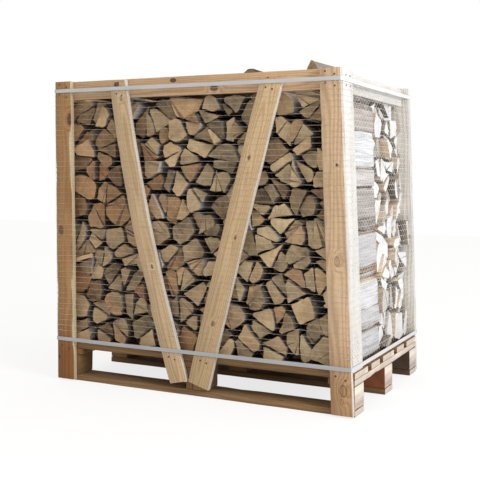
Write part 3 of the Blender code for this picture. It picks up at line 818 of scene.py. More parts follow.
def cut_by(outline, point, way):
    """The part of a convex outline to the left of a line through a point."""
    kept = []
    for a, b in sides_of(outline):
        side_a = way.x * (a.y - point.y) - way.y * (a.x - point.x)
        side_b = way.x * (b.y - point.y) - way.y * (b.x - point.x)
        if side_a >= 0:
            kept.append(a)
        if side_a * side_b < 0:
            kept.append(a.lerp(b, side_a / (side_a - side_b)))
    return kept


def within(outline, hub, reach):
    """The part of a convex outline within reach of a hub, and which of its edges lie on the arc."""
    runs = []
    for a, b in sides_of(outline):
        run, back = b - a, a - hub
        half_b = back.dot(run)
        inside = half_b * half_b - run.dot(run) * (back.dot(back) - reach * reach)
        if inside <= 0:
            continue
        root = math.sqrt(inside)
        enter = max(0.0, (-half_b - root) / run.dot(run))
        leave = min(1.0, (-half_b + root) / run.dot(run))
        if leave - enter > 1e-3:
            runs.append((a + run * enter, a + run * leave))
    points, curved = [], []
    for (start, stop), (after, _) in sides_of(runs):
        points.append(start)
        curved.append(False)
        if (after - stop).length < 1e-5:
            continue
        first, last = (stop - hub), (after - hub)
        sweep = (math.atan2(last.y, last.x) - math.atan2(first.y, first.x)) % math.tau
        steps = max(1, round(sweep * reach / ARC_STEP))
        for step in range(steps):
            points.append(hub + Matrix.Rotation(sweep * step / steps, 2) @ first)
            curved.append(True)
    return points, curved


# Distance between points of a bark arc, the longest edge of a whole log's end that is bark, and the length
# of one uneven step of a riven edge
ARC_STEP = 0.011
ARC_EDGE = 0.028
CHIP_STEP = 0.014

# Turns past which a point is a corner, and past which its tip may break away, and room between two tips
CORNER = math.radians(28)
SHARP = math.radians(105)
PITH_ROOM = 0.040


def riven(points, curved, rng):
    """Knocks the corners off an outline and cuts its straight edges into short uneven steps."""
    stepped, bark = [], []
    for index, (a, b) in enumerate(sides_of(points)):
        run = b - a
        before, after = turning(points, index), turning(points, (index + 1) % len(points))
        room = run.length * 0.3
        start = min(room, rng.uniform(0.001, 0.007)) if before > CORNER else 0.0
        stop = min(room, rng.uniform(0.001, 0.007)) if after > CORNER else 0.0
        straight_run = run.normalized()
        a, b = a + straight_run * start, b - straight_run * stop
        run = b - a
        steps = 1 if curved[index] else max(1, round(run.length / CHIP_STEP))
        aside = Vector((-run.y, run.x)).normalized()
        belly = rng.uniform(-0.0030, 0.0012)
        for step in range(steps):
            away = belly * 4 * (step / steps) * (1 - step / steps)
            away += rng.uniform(-0.0016, 0.0016) if step else 0.0
            stepped.append(a + run * (step / steps) - aside * away)
            bark.append(curved[index])
        if stop:
            stepped.append(b)
            bark.append(curved[index] and curved[(index + 1) % len(points)])
    return stepped, bark


def bark_side(outline, hub, share):
    """Cuts an outline by an arc about a hub so that a share of its area is left."""
    low, high = 0.0, max((point - hub).length for point in outline)
    whole = area_of(outline)
    for _ in range(12):
        reach = (low + high) / 2
        kept, _ = within(outline, hub, reach)
        if len(kept) > 2 and area_of(kept) > share * whole:
            high = reach
        else:
            low = reach
    return within(outline, hub, high)


def blunted(outline, centre, rng):
    """Takes the sharp tips off an outline, as they break away when a log is split."""
    for index in range(len(outline)):
        tip = outline[index]
        if turning(outline, index) < SHARP or rng.random() < 0.3:
            continue
        inward = (centre - tip).normalized()
        cut = cut_by(outline, tip + inward * rng.uniform(0.008, 0.020), Vector((inward.y, -inward.x)))
        if len(cut) > 2:
            return blunted(cut, centre, rng) if rng.random() < 0.6 else cut
    return outline


def freest(cell, order, taken):
    """The first corner of a cell in an order that no other log's pith lies near, or else the first."""
    spots = [cell[k] for k in order]
    return next((s for s in spots if all((s - other).length > PITH_ROOM for other in taken)), spots[0])


def log_outline(cell, kind, rng, gap, loose, taken, bark_way=None):
    """One log's sawn end in its cell: its points, which edges are bark, and its pith.

    loose is how far short of its cell it may fall, and the bark faces a given way or lies by chance.
    taken holds the piths of the logs round it, so that few tips meet.
    """
    if kind == "whole":
        curved = [(b - a).length < ARC_EDGE for a, b in sides_of(cell)]
        tip = max(range(len(cell)), key=lambda k: turning(cell, k))
        return (*riven(cell, curved, rng), cell[tip])
    centre = middle_of(cell)
    reach = sum((point - centre).length for point in cell) / len(cell)
    turn = Matrix.Rotation(rng.uniform(-0.10, 0.10), 2)
    size = (1 - gap * rng.uniform(0.3, 1.8) / reach) * rng.uniform(1.0 - loose, 1.0)
    room = (1 - size) * 0.6 * min(edge_distance(cell, centre, way) for way in COMPASS)
    centre_at = centre + Matrix.Rotation(rng.uniform(0.0, math.tau), 2) @ Vector((room, 0.0))
    cell = [centre_at + turn @ (point - centre) * size for point in cell]
    centre = centre_at
    cell = blunted(cell, centre, rng)
    corners = sorted(range(len(cell)), key=lambda k: -turning(cell, k))
    if kind == "round":
        points, curved = bark_side(cell, centre, rng.uniform(0.84, 0.92))
        return (*riven(points, curved, rng), centre)
    if kind == "wedge":
        first = min(rng.choice((0, 1, 1, 2)), len(corners) - 1)
        tip = freest(cell, [corners[first], *corners[:3]], taken)
        if bark_way:
            tip = min(cell, key=lambda corner: corner.dot(bark_way))
        inward = (centre - tip).normalized()
        opening = math.radians(rng.uniform(38, 56))
        for side in (1, -1):
            way = Matrix.Rotation(-side * opening, 2) @ inward
            cell = cut_by(cell, tip, way * side)
        points, curved = bark_side(cell, tip, rng.uniform(0.86, 0.98))
        return (*riven(points, curved, rng), tip)
    if kind == "half":
        lengths = [(cell[(k + 1) % len(cell)] - cell[k]).length for k in range(len(cell))]
        longest = lengths.index(max(lengths))
        hub = cell[longest].lerp(cell[(longest + 1) % len(cell)], rng.uniform(0.3, 0.7))
        points, curved = bark_side(cell, hub, rng.uniform(0.85, 0.96))
        return (*riven(points, curved, rng), hub)
    tip = freest(cell, corners[:3], taken)
    away = Vector((rng.uniform(-1, 1), rng.uniform(-1, 1))).normalized()
    far = max(away.dot(point - centre) for point in cell)
    way = Vector((away.y, -away.x)) @ Matrix.Rotation(rng.uniform(-0.5, 0.5), 2)
    cell = cut_by(cell, centre + away * far * rng.uniform(0.60, 0.85), -way)
    return (*riven(cell, [False] * len(cell), rng), tip)


def pick_kind(cell, rng):
    """How the log in a cell was split: by its number of corners and by chance."""
    chance = rng.random()
    if len(cell) > 5 and chance < 0.08:
        return "round"
    if chance < 0.36:
        return "wedge"
    return "half" if chance < 0.60 else "billet"


def edge_distance(cell, centre, way):
    """How far a convex cell reaches from a point inside it in one direction."""
    nearest = math.inf
    for a, b in sides_of(cell):
        run = b - a
        across = way.x * run.y - way.y * run.x
        if abs(across) > 1e-9:
            t = ((a - centre).x * run.y - (a - centre).y * run.x) / across
            if t > 0:
                nearest = min(nearest, t)
    return nearest


COMPASS = [Vector((math.cos(math.radians(a)), math.sin(math.radians(a)))) for a in range(0, 360, 45)]

# Room between two logs in line
ROW_SEAM = 0.006

# Rings of a log as (place along it from 0 to 1, how much of the room left in its cell it fills there)
OPEN_LOG = ((0.0, 0.0), (0.04, 0.0), (0.12, 0.0), (1.0, 0.0))
SNUG_LOG = ((0.0, 0.0), (0.05, 0.0), (0.15, 0.0), (1.0, 0.0))
CLOSING_LOG = ((0.0, 0.0), (0.03, 0.0), (0.11, 1.0), (0.55, 1.0), (1.0, 1.0))
TAPERED_LOG = ((0.0, 0.0), (0.05, 0.1), (0.25, 0.55), (0.65, 1.0), (1.0, 0.7))

# How far a ring strays sideways, and the room kept to the edge of a cell that is filled
DRIFT = 0.002
CELL_MARGIN = 0.0004

# How far in from its sawn end and from the stack's outside a log is in full painted shade, and the painted
# shade of a loose log
SHADE_ALONG = 0.045
SHADE_ACROSS = 0.030
LOOSE_SHADE = 0.52


def add_log(
    build, cell, kind, place, reach, tint, rng, settings, painted_shading, inside=None, shape=OPEN_LOG, bark_way=None
):
    """Adds one log from a near to a far depth to the lists of a piece.

    The painted shade just behind its sawn end comes after settings, where less than none leaves the side
    unshaded further in.
    inside is the box across the stack that the stack's outer logs stand round.
    """
    near, far = reach
    loose = 0.07 if shape is OPEN_LOG else 0.04
    points, bark, pith = log_outline(cell, kind, rng, settings.gap, loose, build["piths"], bark_way)
    build["piths"].append(pith)
    centre = middle_of(points)
    inward = 1.0 if far > near else -1.0
    tilts = [Vector((rng.uniform(-1, 1), rng.uniform(-1, 1))) * settings.tilt for _ in range(2)]
    count = len(points)
    base = len(build["points"])
    rings = []
    # As many draws for every shape, so that a shape with fewer rings leaves the later logs as they are
    drifts = [Vector((rng.uniform(-1, 1), rng.uniform(-1, 1))) * DRIFT for _ in CLOSING_LOG]
    for (_, filling), drift in zip(shape, drifts):
        ring = []
        for point in points:
            away = point - centre
            full = edge_distance(cell, centre, away.normalized()) - CELL_MARGIN
            spot = centre + away * (1 + filling * (full / away.length - 1))
            ring.append(spot + drift * (1 - filling))
        rings.append(ring)
    slants = []
    for tilt, ring in ((tilts[0], rings[0]), (tilts[1], rings[-1])):
        slope = [tilt.dot(spot - centre) for spot in ring]
        slants.append([(value - min(slope)) * inward for value in slope])

    def add_point(spot, depth):
        build["points"].append(place(spot.x, spot.y, depth))
        build["wood"].append((spot.x - pith.x, spot.y - pith.y, depth))
        build["tint"].append(tint)
        # Painted shade: darker the further a point lies inside the stack and behind its sawn end, where shade
        # falls between logs
        across = LOOSE_SHADE
        if inside:
            low, high = inside
            across = min(spot.x - low.x, high.x - spot.x, high.y - spot.y) / SHADE_ACROSS
        along = painted_shading + abs(depth - near) / SHADE_ALONG
        build["painted_shade"].append(max(0.0, min(1.0, across, along)))

    for (t, _), ring in zip(shape, rings):
        for index, spot in enumerate(ring):
            depth = near + (far - near) * t
            depth += slants[0][index] * (1 - t) - slants[1][index] * t
            add_point(spot, depth)
    build["faces"] += ring_quads(len(shape), count, base)
    build["slots"] += [BARK if rough else SPLIT for rough in bark] * (len(shape) - 1)

    # Each sawn end: the bark as a rim, and the wood inside it
    for ring, slant in ((0, slants[0]), (len(shape) - 1, slants[1])):
        outer = base + ring * count
        inner = list(range(outer, outer + count))
        for index in range(count):
            if bark[index] and bark[index - 1]:
                spot = rings[ring][index]
                spot = spot + (centre - spot).normalized() * settings.bark
                inner[index] = len(build["points"])
                depth = near if ring == 0 else far
                add_point(spot, depth + slant[index] * (1 if ring == 0 else -1))
        for index in range(count):
            after = (index + 1) % count
            if bark[index]:
                corners = [outer + index, outer + after]
                corners += [k for k in (inner[after], inner[index]) if k not in corners]
                if len(corners) > 2:
                    build["faces"].append(tuple(corners))
                    build["slots"].append(BARK)
        build["faces"].append(tuple(inner))
        build["slots"].append(END)


def empty_build():
    """The lists that add_log adds to."""
    return {key: [] for key in ("points", "faces", "slots", "wood", "tint", "painted_shade", "piths")}


def logs_piece(name, build, materials, *nodes):
    """Turns the lists of a pile of logs into one piece."""
    data = {key: build[key] for key in ("wood", "tint", "painted_shade")}
    piece = new_piece(name, build["points"], build["faces"], materials, build["slots"], data)
    hand_over(piece, "firewood", *nodes)


# Cosine past which a face looks outward
FACES_OUT = 0.999


def relief_cells(node, outward, flatten):
    """Log ends that stand in relief on one side of a row: each one's cell and the depth of its end.

    flatten turns a point into (u, v, depth).  A raised end is its cell drawn in towards its middle,
    so the cell comes back by drawing it out until its corners meet the corners of the grooves.
    """
    solid = flat_faces(node)
    found = []
    for face in solid.faces:
        if face.normal.dot(outward) < FACES_OUT:
            continue
        corners = [flatten(straight(vertex.co)) for vertex in face.verts]
        middle = middle_of([corner.xy for corner in corners])
        own = set(face.verts)
        best = (0.0, 1.0)
        for vertex, corner in zip(face.verts, corners):
            for edge in vertex.link_edges:
                other = edge.other_vert(vertex)
                foot = flatten(straight(other.co)).xy
                if other in own or (foot - corner.xy).length < 1e-4:
                    continue
                aim = (foot - corner.xy).normalized().dot((corner.xy - middle).normalized())
                if aim > best[0]:
                    best = (aim, (corner.xy - middle).length / (foot - middle).length)
        cell = [middle + (corner.xy - middle) / best[1] for corner in corners]
        found.append((cell if area_of(cell) > 0 else cell[::-1], corners[0].z))
    solid.free()
    return sorted(found, key=lambda item: (round(item[0][0].y, 4), round(item[0][0].x, 4)))


def log_tint(rng, warm_bias, light_bias):
    """Warmth, brightness and chance number of one log."""
    warmth = min(1.0, max(0.0, rng.random() ** 3.2 * 0.7 + warm_bias))
    brightness = min(1.0, max(0.0, rng.gauss(0.47 + light_bias, 0.23)))
    return (warmth, brightness, rng.random())


def inside_of(cells):
    """The box across a stack, inside the humps that its outer logs make."""
    corners = [corner for cell, _ in cells for corner in cell]
    low = Vector((min(c.x for c in corners), min(c.y for c in corners)))
    return low, Vector((max(c.x for c in corners), max(c.y for c in corners)))


# Logs down the right side of the front row: how high each look starts, kind, warmth and brightness
RIGHT_SIDE = (
    (0.97, "wedge", 0.55, 0.34), (0.90, "billet", 0.0, 0.97), (0.87, "wedge", 0.0, 0.60),
    (0.77, "billet", 0.35, 0.80), (0.70, "billet", 0.55, 0.15), (0.60, "wedge", 0.45, 0.22),
    (0.50, "billet", 0.10, 0.56), (0.45, "wedge", 0.0, 0.50), (0.36, "billet", 0.05, 0.96),
    (0.25, "wedge", 0.10, 0.54), (0.0, "billet", 0.06, 0.52),
)


# How near the side of the stack an outer log's cell reaches
OUTER = 0.03

# The share of the front row's logs whose painted shade starts further in, and how much painted shade they and
# the others have just behind the sawn end
UNSHADED_SHARE = 0.20
LATE_SHADE, EARLY_SHADE = -0.5, 0.45

# The warmer logs at the left: how much warmer, how far right they reach and between which heights
WARM_PATCH = (0.30, -0.35, 0.58, 0.98)


def build_front_row(materials, settings):
    """The front row: one log behind each end in relief."""
    node = "firewood_front_row"
    cells = relief_cells(node, Vector((0, -1, 0)), lambda p: Vector((p.x, p.z, p.y)))
    rng = random.Random(settings.seed)
    build = empty_build()
    inside = inside_of(cells)
    for cell, depth in cells:
        middle = middle_of(cell)
        at_left = min(corner.x for corner in cell) < inside[0].x + OUTER
        at_right = max(corner.x for corner in cell) > inside[1].x - OUTER
        redder, right, bottom, top = WARM_PATCH
        reddish = redder if middle.x < right and bottom < middle.y < top else 0.0
        tint = log_tint(rng, 0.13 - 0.34 * middle.x + reddish, 0.05 * middle.x)
        kind, bark_way = pick_kind(cell, rng), None
        painted_shading = LATE_SHADE if rng.random() < UNSHADED_SHARE else EARLY_SHADE
        if at_left:
            cell = [Vector((inside[0].x, c.y)) if c.x < inside[0].x + OUTER else c for c in cell]
        if at_right:
            cell = [Vector((inside[1].x, c.y)) if c.x > inside[1].x - OUTER else c for c in cell]
            kind, warmth, brightness = next(look for low, *look in RIGHT_SIDE if middle.y > low)
            bark_way = Vector((1.0, 0.0)) if kind == "wedge" else None
            tint = (warmth, brightness, rng.random())
        reach = (depth + rng.uniform(0.0, settings.depth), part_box(node)[1][1] - rng.uniform(0.0, 0.012))
        add_log(
            build, cell, kind, lambda u, v, d: leaning(u, d, v), reach, tint, rng, settings, painted_shading, inside,
            CLOSING_LOG if at_left else TAPERED_LOG if at_right else OPEN_LOG, bark_way,
        )
    logs_piece("firewood_front_row_logs", build, materials, node)


# How much lighter than others a log of the back row may be, and how much painted shade it has behind its sawn
# end
BACK_LIGHTS = (-0.22, 0.30, 0.55)
BACK_SHADE = (-1.2, -0.6, 0.4)


def build_back_row(materials, settings):
    """The back row: three logs in line across the crate, the middle one with the right one's cell."""
    node = "firewood_back_row"
    rng = random.Random(settings.seed + 1)
    build = empty_build()
    for sign, count in ((1, 2), (-1, 1)):
        outward = Vector((sign, 0.0, BACK_LEAN * sign)).normalized()
        cells = relief_cells(node, outward, lambda p: Vector((p.y, p.z, p.x)))
        inside = inside_of(cells)
        for cell, depth in cells:
            length = (2 * abs(depth) - 2 * ROW_SEAM) / 3
            for number in range(count):
                end = depth - sign * number * (length + ROW_SEAM)
                reach = (end - sign * rng.uniform(-0.007, 0.5 * settings.depth), end - sign * length)
                tint = log_tint(rng, -0.06, rng.choice(BACK_LIGHTS))
                add_log(
                    build, cell, pick_kind(cell, rng), lambda u, v, d: leaning(d, u, v), reach, tint, rng,
                    settings, rng.choice(BACK_SHADE), inside, SNUG_LOG,
                )
    logs_piece("firewood_back_row_logs", build, materials, node)


def build_loose_log(node, number, materials, settings):
    """A loose log on top, from the outline of its solid's two ends."""
    solid = flat_faces(node)
    ends = sorted(solid.faces, key=lambda face: len(face.verts))[-2:]
    near_face, far_face = ([straight(vertex.co) for vertex in face.verts] for face in ends)
    near_middle = sum(near_face, Vector()) / len(near_face)
    far_middle = sum(far_face, Vector()) / len(far_face)
    solid.free()
    sweep = far_middle - near_middle
    along = sweep.normalized()
    side = AXES[2].cross(along).normalized()
    cell = [Vector(((corner - near_middle).dot(side), corner.z)) for corner in near_face]
    if area_of(cell) < 0:
        cell = cell[::-1]
    start = Vector((near_middle.x, near_middle.y, 0.0))
    rng = random.Random(settings.seed + 100 + number)
    build = empty_build()

    def place(u, v, depth):
        spot = start + side * u + along * depth
        return leaning(spot.x, spot.y, v)

    tint = log_tint(rng, 0.25, -0.2)
    add_log(build, cell, "whole", place, (0.0, sweep.length), tint, rng, settings, rng.choice((0.1, 0.5)))
    logs_piece(f"loose_log_{number:02d}", build, materials, node)


# Geometry Nodes -------------------------------------------------------------------------------


def new_tree(name, inputs):
    """An empty geometry tree with a Geometry input and output and more inputs by name."""
    tree = bpy.data.node_groups.new(name, "GeometryNodeTree")
    tree.interface.new_socket("Geometry", in_out="INPUT", socket_type="NodeSocketGeometry")
    for label, kind in inputs:
        tree.interface.new_socket(label, in_out="INPUT", socket_type=f"NodeSocket{kind}")
    tree.interface.new_socket("Geometry", in_out="OUTPUT", socket_type="NodeSocketGeometry")
    return tree, add(tree, "NodeGroupInput", out=None)


def end_tree(tree, shape, made):
    """Ends a tree with Realize Instances and Set Material."""
    real = add(tree, "GeometryNodeRealizeInstances", [shape])
    done = add(tree, "GeometryNodeSetMaterial", {"Geometry": real, "Material": made})
    add(tree, "NodeGroupOutput", [done], out=None)


def run_tree(host, tree, values, name):
    """Runs a tree on a host mesh, its inputs set by identifier, and gives a plain mesh object."""
    modifier = host.modifiers.new("build", "NODES")
    modifier.node_group = tree
    for item in tree.interface.items_tree:
        if item.in_out == "INPUT" and item.name in values:
            modifier[item.identifier] = values[item.name]
    graph = bpy.context.evaluated_depsgraph_get()
    built = host.evaluated_get(graph)
    mesh = bpy.data.meshes.new_from_object(built, preserve_all_data_layers=True, depsgraph=graph)
    bpy.data.objects.remove(host, do_unlink=True)
    mesh.name = name
    return placed(name, mesh)


def net_tree(made):
    """Courses of knitted net: one course's yarns set at every level, slackened and given thickness."""
    names = ("First", "Step", "Slack", "Yarn", "Lean", "Twist")
    tree, given = new_tree("knitted net", (("Courses", "Int"), *((name, "Float") for name in names)))
    first = add(tree, "CombineXYZ", {"Z": given["First"]})
    step = add(tree, "CombineXYZ", {"Z": given["Step"]})
    line = {"Count": given["Courses"], "Start Location": first, "Offset": step}
    levels = add(tree, "GeometryNodeMeshLine", line, mode="OFFSET")
    courses = add(tree, "GeometryNodeInstanceOnPoints", {"Points": levels, "Instance": given["Geometry"]})
    yarns = add(tree, "GeometryNodeRealizeInstances", [courses])
    where = add(tree, "GeometryNodeInputPosition")
    coarse = add(tree, "TexNoise", {"Vector": where, "Scale": 4.0, "Detail": 3.0})
    centred = add(tree, "Math", [coarse, 0.5], "SUBTRACT")
    lift = add(tree, "Math", [centred, given["Slack"]], "MULTIPLY")
    lift = add(tree, "Math", [lift, 4.0], "MULTIPLY")
    _, back, up = add(tree, "SeparateXYZ", [where], out=None)
    lean = add(tree, "Math", [back, given["Twist"], given["Lean"]], "MULTIPLY_ADD")
    aside = add(tree, "Math", [lean, up], "MULTIPLY")
    aside = add(tree, "Math", [aside, -1.0], "MULTIPLY")
    offset = add(tree, "CombineXYZ", {"X": aside, "Z": lift})
    slack = add(tree, "GeometryNodeSetPosition", {"Geometry": yarns, "Offset": offset})
    curves = add(tree, "GeometryNodeMeshToCurve", {"Mesh": slack})
    weight = add(tree, "GeometryNodeInputNamedAttribute", {"Name": "weight"}, data_type="FLOAT")
    chance = add(tree, "TexNoise", {"Vector": where, "Scale": 16.0, "Detail": 3.0})
    fullness = add(tree, "MapRange", [chance, 0.3, 0.7, 0.30, 1.30])
    weight = add(tree, "Math", [weight, fullness], "MULTIPLY")
    half = add(tree, "Math", [given["Yarn"], 0.5], "MULTIPLY")
    section = add(tree, "GeometryNodeCurvePrimitiveCircle", {"Resolution": 3, "Radius": half})
    tubes = add(tree, "GeometryNodeCurveToMesh", {0: curves, "Profile Curve": section, "Scale": weight})
    end_tree(tree, tubes, made)
    return tree


def ring_path(half_x, half_y, bend, steps):
    """A level path round the crate with rounded corners, counter-clockwise, as (x, y)."""
    path = []
    for turn, (i, j) in enumerate(((1, -1), (1, 1), (-1, 1), (-1, -1))):
        for step in range(steps + 1):
            angle = math.radians(90 * turn - 90 + 90 * step / steps)
            x = i * (half_x - bend) + bend * math.cos(angle)
            path.append(Vector((x, j * (half_y - bend) + bend * math.sin(angle))))
    return path


def along_path(path, spacing):
    """A closed path's own corners with even points between them."""
    points = []
    for a, b in sides_of(path):
        steps = max(1, round((b - a).length / spacing))
        points += [a.lerp(b, step / steps) for step in range(steps)]
    return points


# How thick a yarn is, as a share of the chain width: on the short sides, and in front and behind
CHAIN_WEIGHTS = (1.55, 0.95)
TIE_WEIGHTS = (0.85, 0.20)


def build_net():
    """Courses of chain stitches all round the crate, tied to each other by zigzag yarns."""
    settings = bpy.context.scene.firewood_net
    low, high = square_box("net")
    path = ring_path(high.x - settings.yarn / 2, high.y - settings.yarn / 2, 0.003, 2)
    points, edges, weights = [], [], []

    def add_loop(loop, at_sides, elsewhere):
        first = len(points)
        points.extend(loop)
        weights.extend(at_sides if abs(spot[0]) > high.x - 0.01 else elsewhere for spot in loop)
        edges.extend((first + k, first + (k + 1) % len(loop)) for k in range(len(loop)))

    chains = [(spot.x, spot.y, 0.0) for spot in along_path(path, 0.06)]
    add_loop(chains, *CHAIN_WEIGHTS)
    ties = [(p.x, p.y, -settings.course * (k % 2)) for k, p in enumerate(along_path(path, settings.tie / 2))]
    add_loop(ties, *TIE_WEIGHTS)
    mesh = bpy.data.meshes.new("course")
    mesh.from_pydata(points, edges, [])
    mark(mesh, "weight", weights)
    count = int((high.z - low.z) / settings.course)
    step = (high.z - low.z) / count
    values = {
        "Courses": count,
        "First": low.z + step,
        "Step": step,
        "Slack": settings.slack,
        "Yarn": settings.yarn,
        "Lean": lean_at(0.0),
        "Twist": lean_at(1.0) - lean_at(0.0),
    }
    net = run_tree(placed("course", mesh), net_tree(knitted_polyethylene(settings)), values, "knitted_net")
    hand_over(net, "net_yarn", "net")


NAIL_SLANT = 0.12


def nail_tree(made):
    """Nail heads: a low cone at each point, turned to its board's face and never quite square."""
    tree, given = new_tree("nail heads", (("Head", "Float"), ("Height", "Float"), ("Seed", "Int")))
    wide = add(tree, "Math", [given["Head"], 0.5], "MULTIPLY")
    top = add(tree, "Math", [given["Head"], 0.40], "MULTIPLY")
    cone = {"Vertices": 10, "Radius Top": top, "Radius Bottom": wide, "Depth": given["Height"]}
    head = add(tree, "GeometryNodeMeshCone", cone)
    facing = add(tree, "GeometryNodeInputNamedAttribute", {"Name": "facing"}, data_type="FLOAT_VECTOR")
    most = Vector((NAIL_SLANT, NAIL_SLANT, NAIL_SLANT))
    slant = {0: -most, 1: most, "Seed": given["Seed"]}
    chance = add(tree, "FunctionNodeRandomValue", slant, data_type="FLOAT_VECTOR")
    aim = add(tree, "VectorMath", [facing, chance], "ADD")
    turn = add(tree, "FunctionNodeAlignRotationToVector", {"Vector": aim}, axis="Z")
    nailed = {"Points": given["Geometry"], "Instance": head, "Rotation": turn}
    heads = add(tree, "GeometryNodeInstanceOnPoints", nailed)
    end_tree(tree, heads, made)
    return tree


# Heights of the nails' rows in the square crate
POST_NAILS = (1.152, 1.112, 0.128)
BRACE_NAILS = (1.142, 1.108, 0.131)
SIDE_NAILS = (1.148, 1.112)


def nail_places():
    """Where the boards are nailed, and which way each head faces."""
    places = []
    for face, sign in (("front", -1), ("back", 1)):
        out = Vector((0.0, sign, 0.0))
        for side in ("left", "right"):
            low, high = square_box(f"post_{face}_{side}")
            surface = low.y if sign < 0 else high.y
            for z in POST_NAILS:
                for share, drop in ((0.28, 0.006), (0.72, -0.005)):
                    places.append((leaning(low.x + (high.x - low.x) * share, surface, z + drop), out))
            for z in BRACE_NAILS:
                for aside in (-0.012, 0.013):
                    x = brace_line(face, side, z) + aside
                    places.append((leaning(x, surface, z - aside * 0.3), out))
    for side, sign in (("left", -1), ("right", 1)):
        low, high = square_box(f"side_board_{side}")
        x = low.x if sign < 0 else high.x
        for z in SIDE_NAILS:
            for share in (0.3, 0.7):
                place = leaning(x, low.y + (high.y - low.y) * share, z)
                places.append((place, Vector((sign, 0.0, 0.0))))
    return places


def build_nails():
    """Nail heads in the crate's boards."""
    settings = bpy.context.scene.firewood_nails
    places = nail_places()
    mesh = bpy.data.meshes.new("nail places")
    mesh.from_pydata([place for place, _ in places], [], [])
    mark(mesh, "facing", [out for _, out in places])
    values = {"Head": settings.head, "Height": 0.0012, "Seed": 3}
    nails = run_tree(placed("nail places", mesh), nail_tree(rusting_steel()), values, "nail_heads")
    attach(nails, BODY)


# Straps ---------------------------------------------------------------------------------------


STRAP_THICK = 0.0009
STRAP_CROWN = 0.0002
STRAP_SWAY = 0.0012
STRAP_SECTION = ((-0.5, -1), (-0.5, 1), (0.0, 1), (0.5, 1), (0.5, -1), (0.0, -1))


def build_strap(node, made):
    """A flat strap pulled tight round the posts, bent at their edges."""
    settings = bpy.context.scene.firewood_straps
    low, high = square_box(node)
    half = STRAP_THICK / 2
    middle_z = (low.z + high.z) / 2
    wide = high.z - low.z
    path = along_path(ring_path(high.x - half, high.y - half, settings.bend, 4), 0.05)
    points, tape = [], []
    travelled = 0.0
    for index, spot in enumerate(path):
        run = path[(index + 1) % len(path)] - path[index - 1]
        out = Vector((run.y, -run.x)).normalized() * STRAP_THICK / 2
        if index:
            travelled += (spot - path[index - 1]).length
        sway = STRAP_SWAY * noise.noise(Vector((spot.x * 3.0, spot.y * 3.0, middle_z * 9.0)))
        for across, side in STRAP_SECTION:
            z = middle_z + across * (wide - 0.002) + sway
            crown = 0.0 if across else STRAP_CROWN
            place = spot + out * (side + crown / STRAP_THICK)
            points.append(leaning(place.x, place.y, z))
            tape.append((travelled, across * wide, side * 0.001))
    faces = ring_quads(len(path), len(STRAP_SECTION), closed=True)
    piece = new_piece(f"{node}_tape", points, faces, [made], data={"tape": tape}, sharp=50.0)
    hand_over(piece, "strap_plastic", node)


# Stage ----------------------------------------------------------------------------------------

WHITE_FLOOR = 0.785
FLOOR_HALF = 9.0
LENS = 65.89
SHIFT = (0.0583, -0.2526)
CAMERA_PLACE = (1.5342, -3.2563, 0.7981)

# How far the camera is turned round from +Y, lifted above level and rolled, in degrees
CAMERA_TURNS = ((27.297, "Z"), (90 + 3.707, "X"), (0.34, "Z"))


def camera_rays(tree):
    """1 for rays that show the background: straight from the camera, mirrored or through glass."""
    rays = add(tree, "LightPath", out=None)
    seen = add(tree, "Math", [rays["Is Camera Ray"], rays["Is Glossy Ray"]], "ADD")
    return add(tree, "Math", [seen, rays["Is Transmission Ray"]], "ADD", use_clamp=True)


def floor_paper():
    """Matt white studio paper that glows just enough to meet the white background in front of the camera."""
    made = bpy.data.materials.new("studio_paper")
    made.use_nodes = True
    tree = made.node_tree
    tree.nodes.clear()
    plain = add(tree, "BsdfDiffuse", {"Color": colour("#E6E6E6")})
    dim = add(tree, "BsdfDiffuse", {"Color": (0.22, 0.22, 0.22, 1.0)})
    glow = add(tree, "Emission", {"Color": (1.0, 1.0, 1.0, 1.0), "Strength": WHITE_FLOOR})
    shown = add(tree, "AddShader", [dim, glow])
    chosen = add(tree, "MixShader", [camera_rays(tree), plain, shown])
    add(tree, "OutputMaterial", {"Surface": chosen}, out=None)
    return made


def build_world(fill):
    """Even light from all round, and white behind the object."""
    world = bpy.data.worlds.new("studio")
    world.use_nodes = True
    tree = world.node_tree
    tree.nodes.clear()
    light = add(tree, "Background", {"Color": colour("#FFFEFB"), "Strength": fill})
    white = add(tree, "Background", {"Color": (1.0, 1.0, 1.0, 1.0), "Strength": 1.0})
    chosen = add(tree, "MixShader", [camera_rays(tree), light, white])
    add(tree, "OutputWorld", {"Surface": chosen}, out=None)
    bpy.context.scene.world = world


def build_camera():
    """Camera at a standing person's chest height, towards the front and the right side."""
    data = bpy.data.cameras.new("camera")
    data.sensor_width = 36.0
    data.lens = LENS
    data.shift_x, data.shift_y = SHIFT
    data.clip_end = 50.0
    camera = placed("camera", data)
    turn, lift, roll = (Matrix.Rotation(math.radians(angle), 4, axis) for angle, axis in CAMERA_TURNS)
    camera.matrix_world = Matrix.Translation(CAMERA_PLACE) @ turn @ lift @ roll
    bpy.context.scene.camera = camera


def build_lamp(name, place, aim, size, power):
    """A large soft lamp that looks from a place at a point."""
    data = bpy.data.lights.new(name, "AREA")
    data.shape = "DISK"
    data.size = size
    data.energy = power
    lamp = placed(name, data)
    lamp.location = place
    lamp.rotation_euler = (Vector(aim) - Vector(place)).to_track_quat("-Z", "Y").to_euler()


def build_stage():
    """Floor, even light, one soft lamp and the camera."""
    settings = bpy.context.scene.firewood_stage
    corners = [(i * FLOOR_HALF, j * FLOOR_HALF, 0.0) for i, j in ((-1, -1), (1, -1), (1, 1), (-1, 1))]
    mesh = bpy.data.meshes.new("studio_floor")
    mesh.from_pydata(corners, [], [(0, 1, 2, 3)])
    mesh.materials.append(floor_paper())
    placed("studio_floor", mesh)
    build_world(settings.fill)
    build_lamp("window", (4.7, -1.9, 2.4), (0.2, 0.0, 0.5), 1.6, 100 * settings.key)
    build_camera()
    bpy.context.scene.view_settings.view_transform = "Standard"


